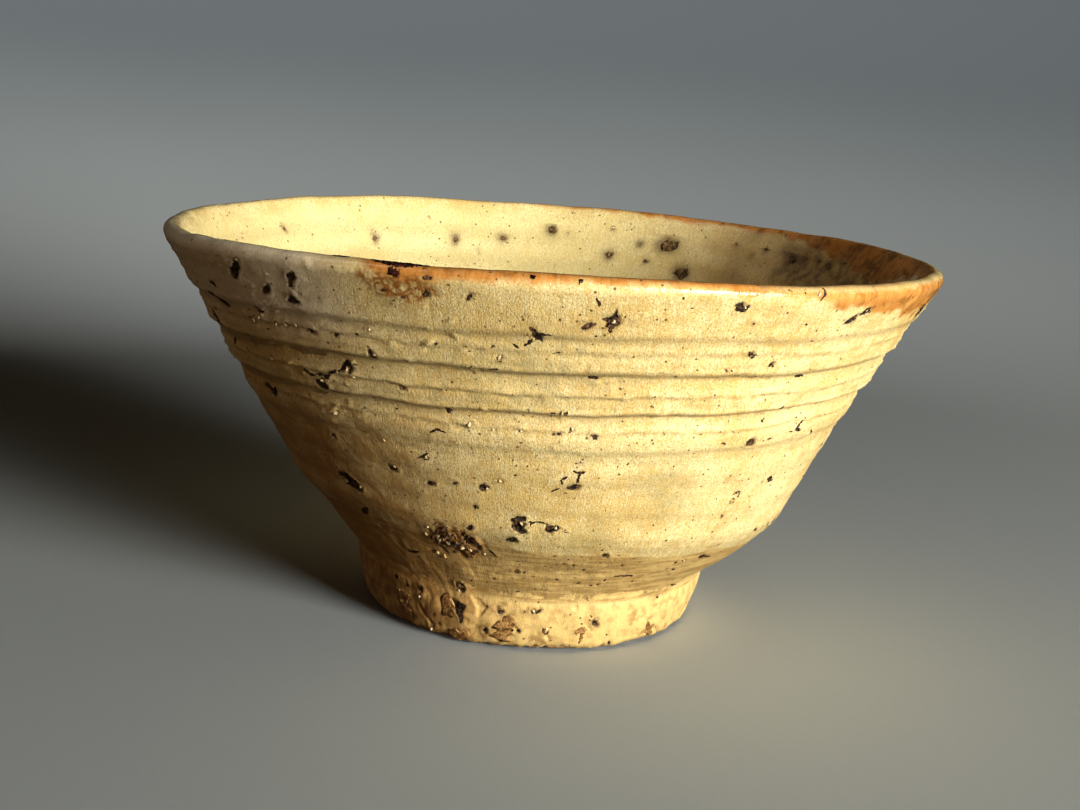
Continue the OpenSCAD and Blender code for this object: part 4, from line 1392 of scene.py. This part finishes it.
def paper_material():
    """Pale paper on the floor, darker up the wall, where it glows faintly: painted light, not a lamp."""
    n = Nodes("studio_paper")
    height = n.output("ShaderNodeSeparateXYZ", "Z", {0: n.mm})
    wall = n.ramp(height + n.noise(n.mm, 0.004, 2) * 20.0, 5, 130)
    colour = n.mix(wall, (0.46, 0.50, 0.54), (0.13, 0.15, 0.165))
    # A painted glow that rises up the wall, so the backdrop shows grey without a lamp on it.
    n.put(n.mix(wall, (0, 0, 0), (0.058, 0.064, 0.070)), n.shader.inputs["Emission Color"])
    fleck = n.noise(n.mm, 1.2, 2)
    return n.finish(colour, 0.95, fleck, 0.02, Emission_Strength=1.0, Specular_IOR_Level=0.1)


def build_floor():
    """A round floor that curves up into a wall all the way round."""
    turns = np.linspace(0, math.pi / 2, 24)
    arc = [(FLAT + BEND * math.sin(a), BEND * (1 - math.cos(a))) for a in turns]
    outline = np.array([(0.01, 0), (0.1, 0), (0.2, 0), *arc, (FLAT + BEND, HIGH)]) / MM
    columns = 160
    theta, r = np.meshgrid(angles_round(columns), outline[:, 0])
    z = np.repeat(outline[:, 1][:, None], columns, 1)
    points = ring_points(theta, r, z).reshape(-1, 3)
    faces = ring_quads(len(outline), columns).tolist() + [list(range(columns))]
    mesh = bpy.data.meshes.new("studio_floor")
    mesh.from_pydata((points * MM).tolist(), [], faces)
    mesh.polygons.foreach_set("use_smooth", [True] * len(mesh.polygons))
    mesh.materials.append(paper_material())
    floor = bpy.data.objects.new("studio_floor", mesh)
    bpy.context.scene.collection.objects.link(floor)
    floor.visible_diffuse = False
    floor.visible_glossy = False
    floor.visible_shadow = False


def add_light(name, azimuth, elevation, distance, size, watts, colour, only=None, gloss=True):
    """A soft square lamp aimed at the bowl. azimuth is in degrees from the front to the right."""
    a, e = math.radians(azimuth), math.radians(elevation)
    way = Vector((math.sin(a) * math.cos(e), -math.cos(a) * math.cos(e), math.sin(e)))
    lamp = bpy.data.lights.new(name, "AREA")
    lamp.size = size
    lamp.energy = watts
    lamp.color = colour
    light = bpy.data.objects.new(name, lamp)
    light.location = Vector((0, 0, 0.045)) + way * distance
    light.rotation_mode = "QUATERNION"
    light.rotation_quaternion = way.to_track_quat("Z", "Y")
    light.visible_camera = False
    light.visible_glossy = gloss
    if only:
        light.light_linking.receiver_collection = only
    bpy.context.scene.collection.objects.link(light)


def add_camera():
    pitch, roll = math.radians(CAMERA_PITCH), math.radians(CAMERA_ROLL)
    right = Vector((1, 0, 0))
    up = Vector((0, math.sin(pitch), math.cos(pitch)))
    back = Vector((0, -math.cos(pitch), math.sin(pitch)))
    camera_right = math.cos(roll) * right + math.sin(roll) * up
    camera_up = -math.sin(roll) * right + math.cos(roll) * up
    data = bpy.data.cameras.new("photo_view")
    data.lens = LENS
    data.sensor_width = FRAME_WIDTH
    data.clip_start = 0.01
    camera = bpy.data.objects.new("photo_view", data)
    camera.rotation_mode = "QUATERNION"
    turn = Matrix((camera_right, camera_up, back)).transposed()
    camera.rotation_quaternion = turn.to_quaternion()
    camera.location = CAMERA_PLACE
    bpy.context.scene.collection.objects.link(camera)
    bpy.context.scene.camera = camera


def light_the_scene(bowl):
    scene = bpy.context.scene
    group = bpy.data.collections.new("bowl_only")
    for piece in bowl:
        group.objects.link(piece)
    scene.view_settings.view_transform = "Standard"
    scene.view_settings.exposure = 0.2
    scene.view_settings.gamma = 0.86
    world = bpy.data.worlds.new("studio_world")
    world.use_nodes = True
    background = world.node_tree.nodes["Background"].inputs
    background["Color"].default_value = (1.0, 0.75, 0.45, 1)
    background["Strength"].default_value = 0.03
    scene.world = world
    add_light("key", 47, 10, 1.5, 0.6, 43.0, (1.0, 0.97, 0.87))
    add_light("fill", -36, 8, 1.2, 0.5, 1.0, (1.0, 0.60, 0.30), group)
    add_light("sheen", -80, 52, 1.2, 0.5, 1.2, (0.95, 0.95, 1.0), group)
    add_light("back", -173, 7, 1.2, 0.5, 9.0, (0.95, 0.96, 1.0), group, gloss=False)


# ---- the scene

pieces = build_glaze() | build_marks()
pieces["clay"] = build_clay()
pieces["foot_ring"] = build_foot_ring()
pieces["grit"] = build_grit_patch()
materials = make_materials()
for piece in pieces.values():
    piece.data.materials.append(materials[piece["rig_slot"]])
build_floor()
light_the_scene(pieces.values())
add_camera()
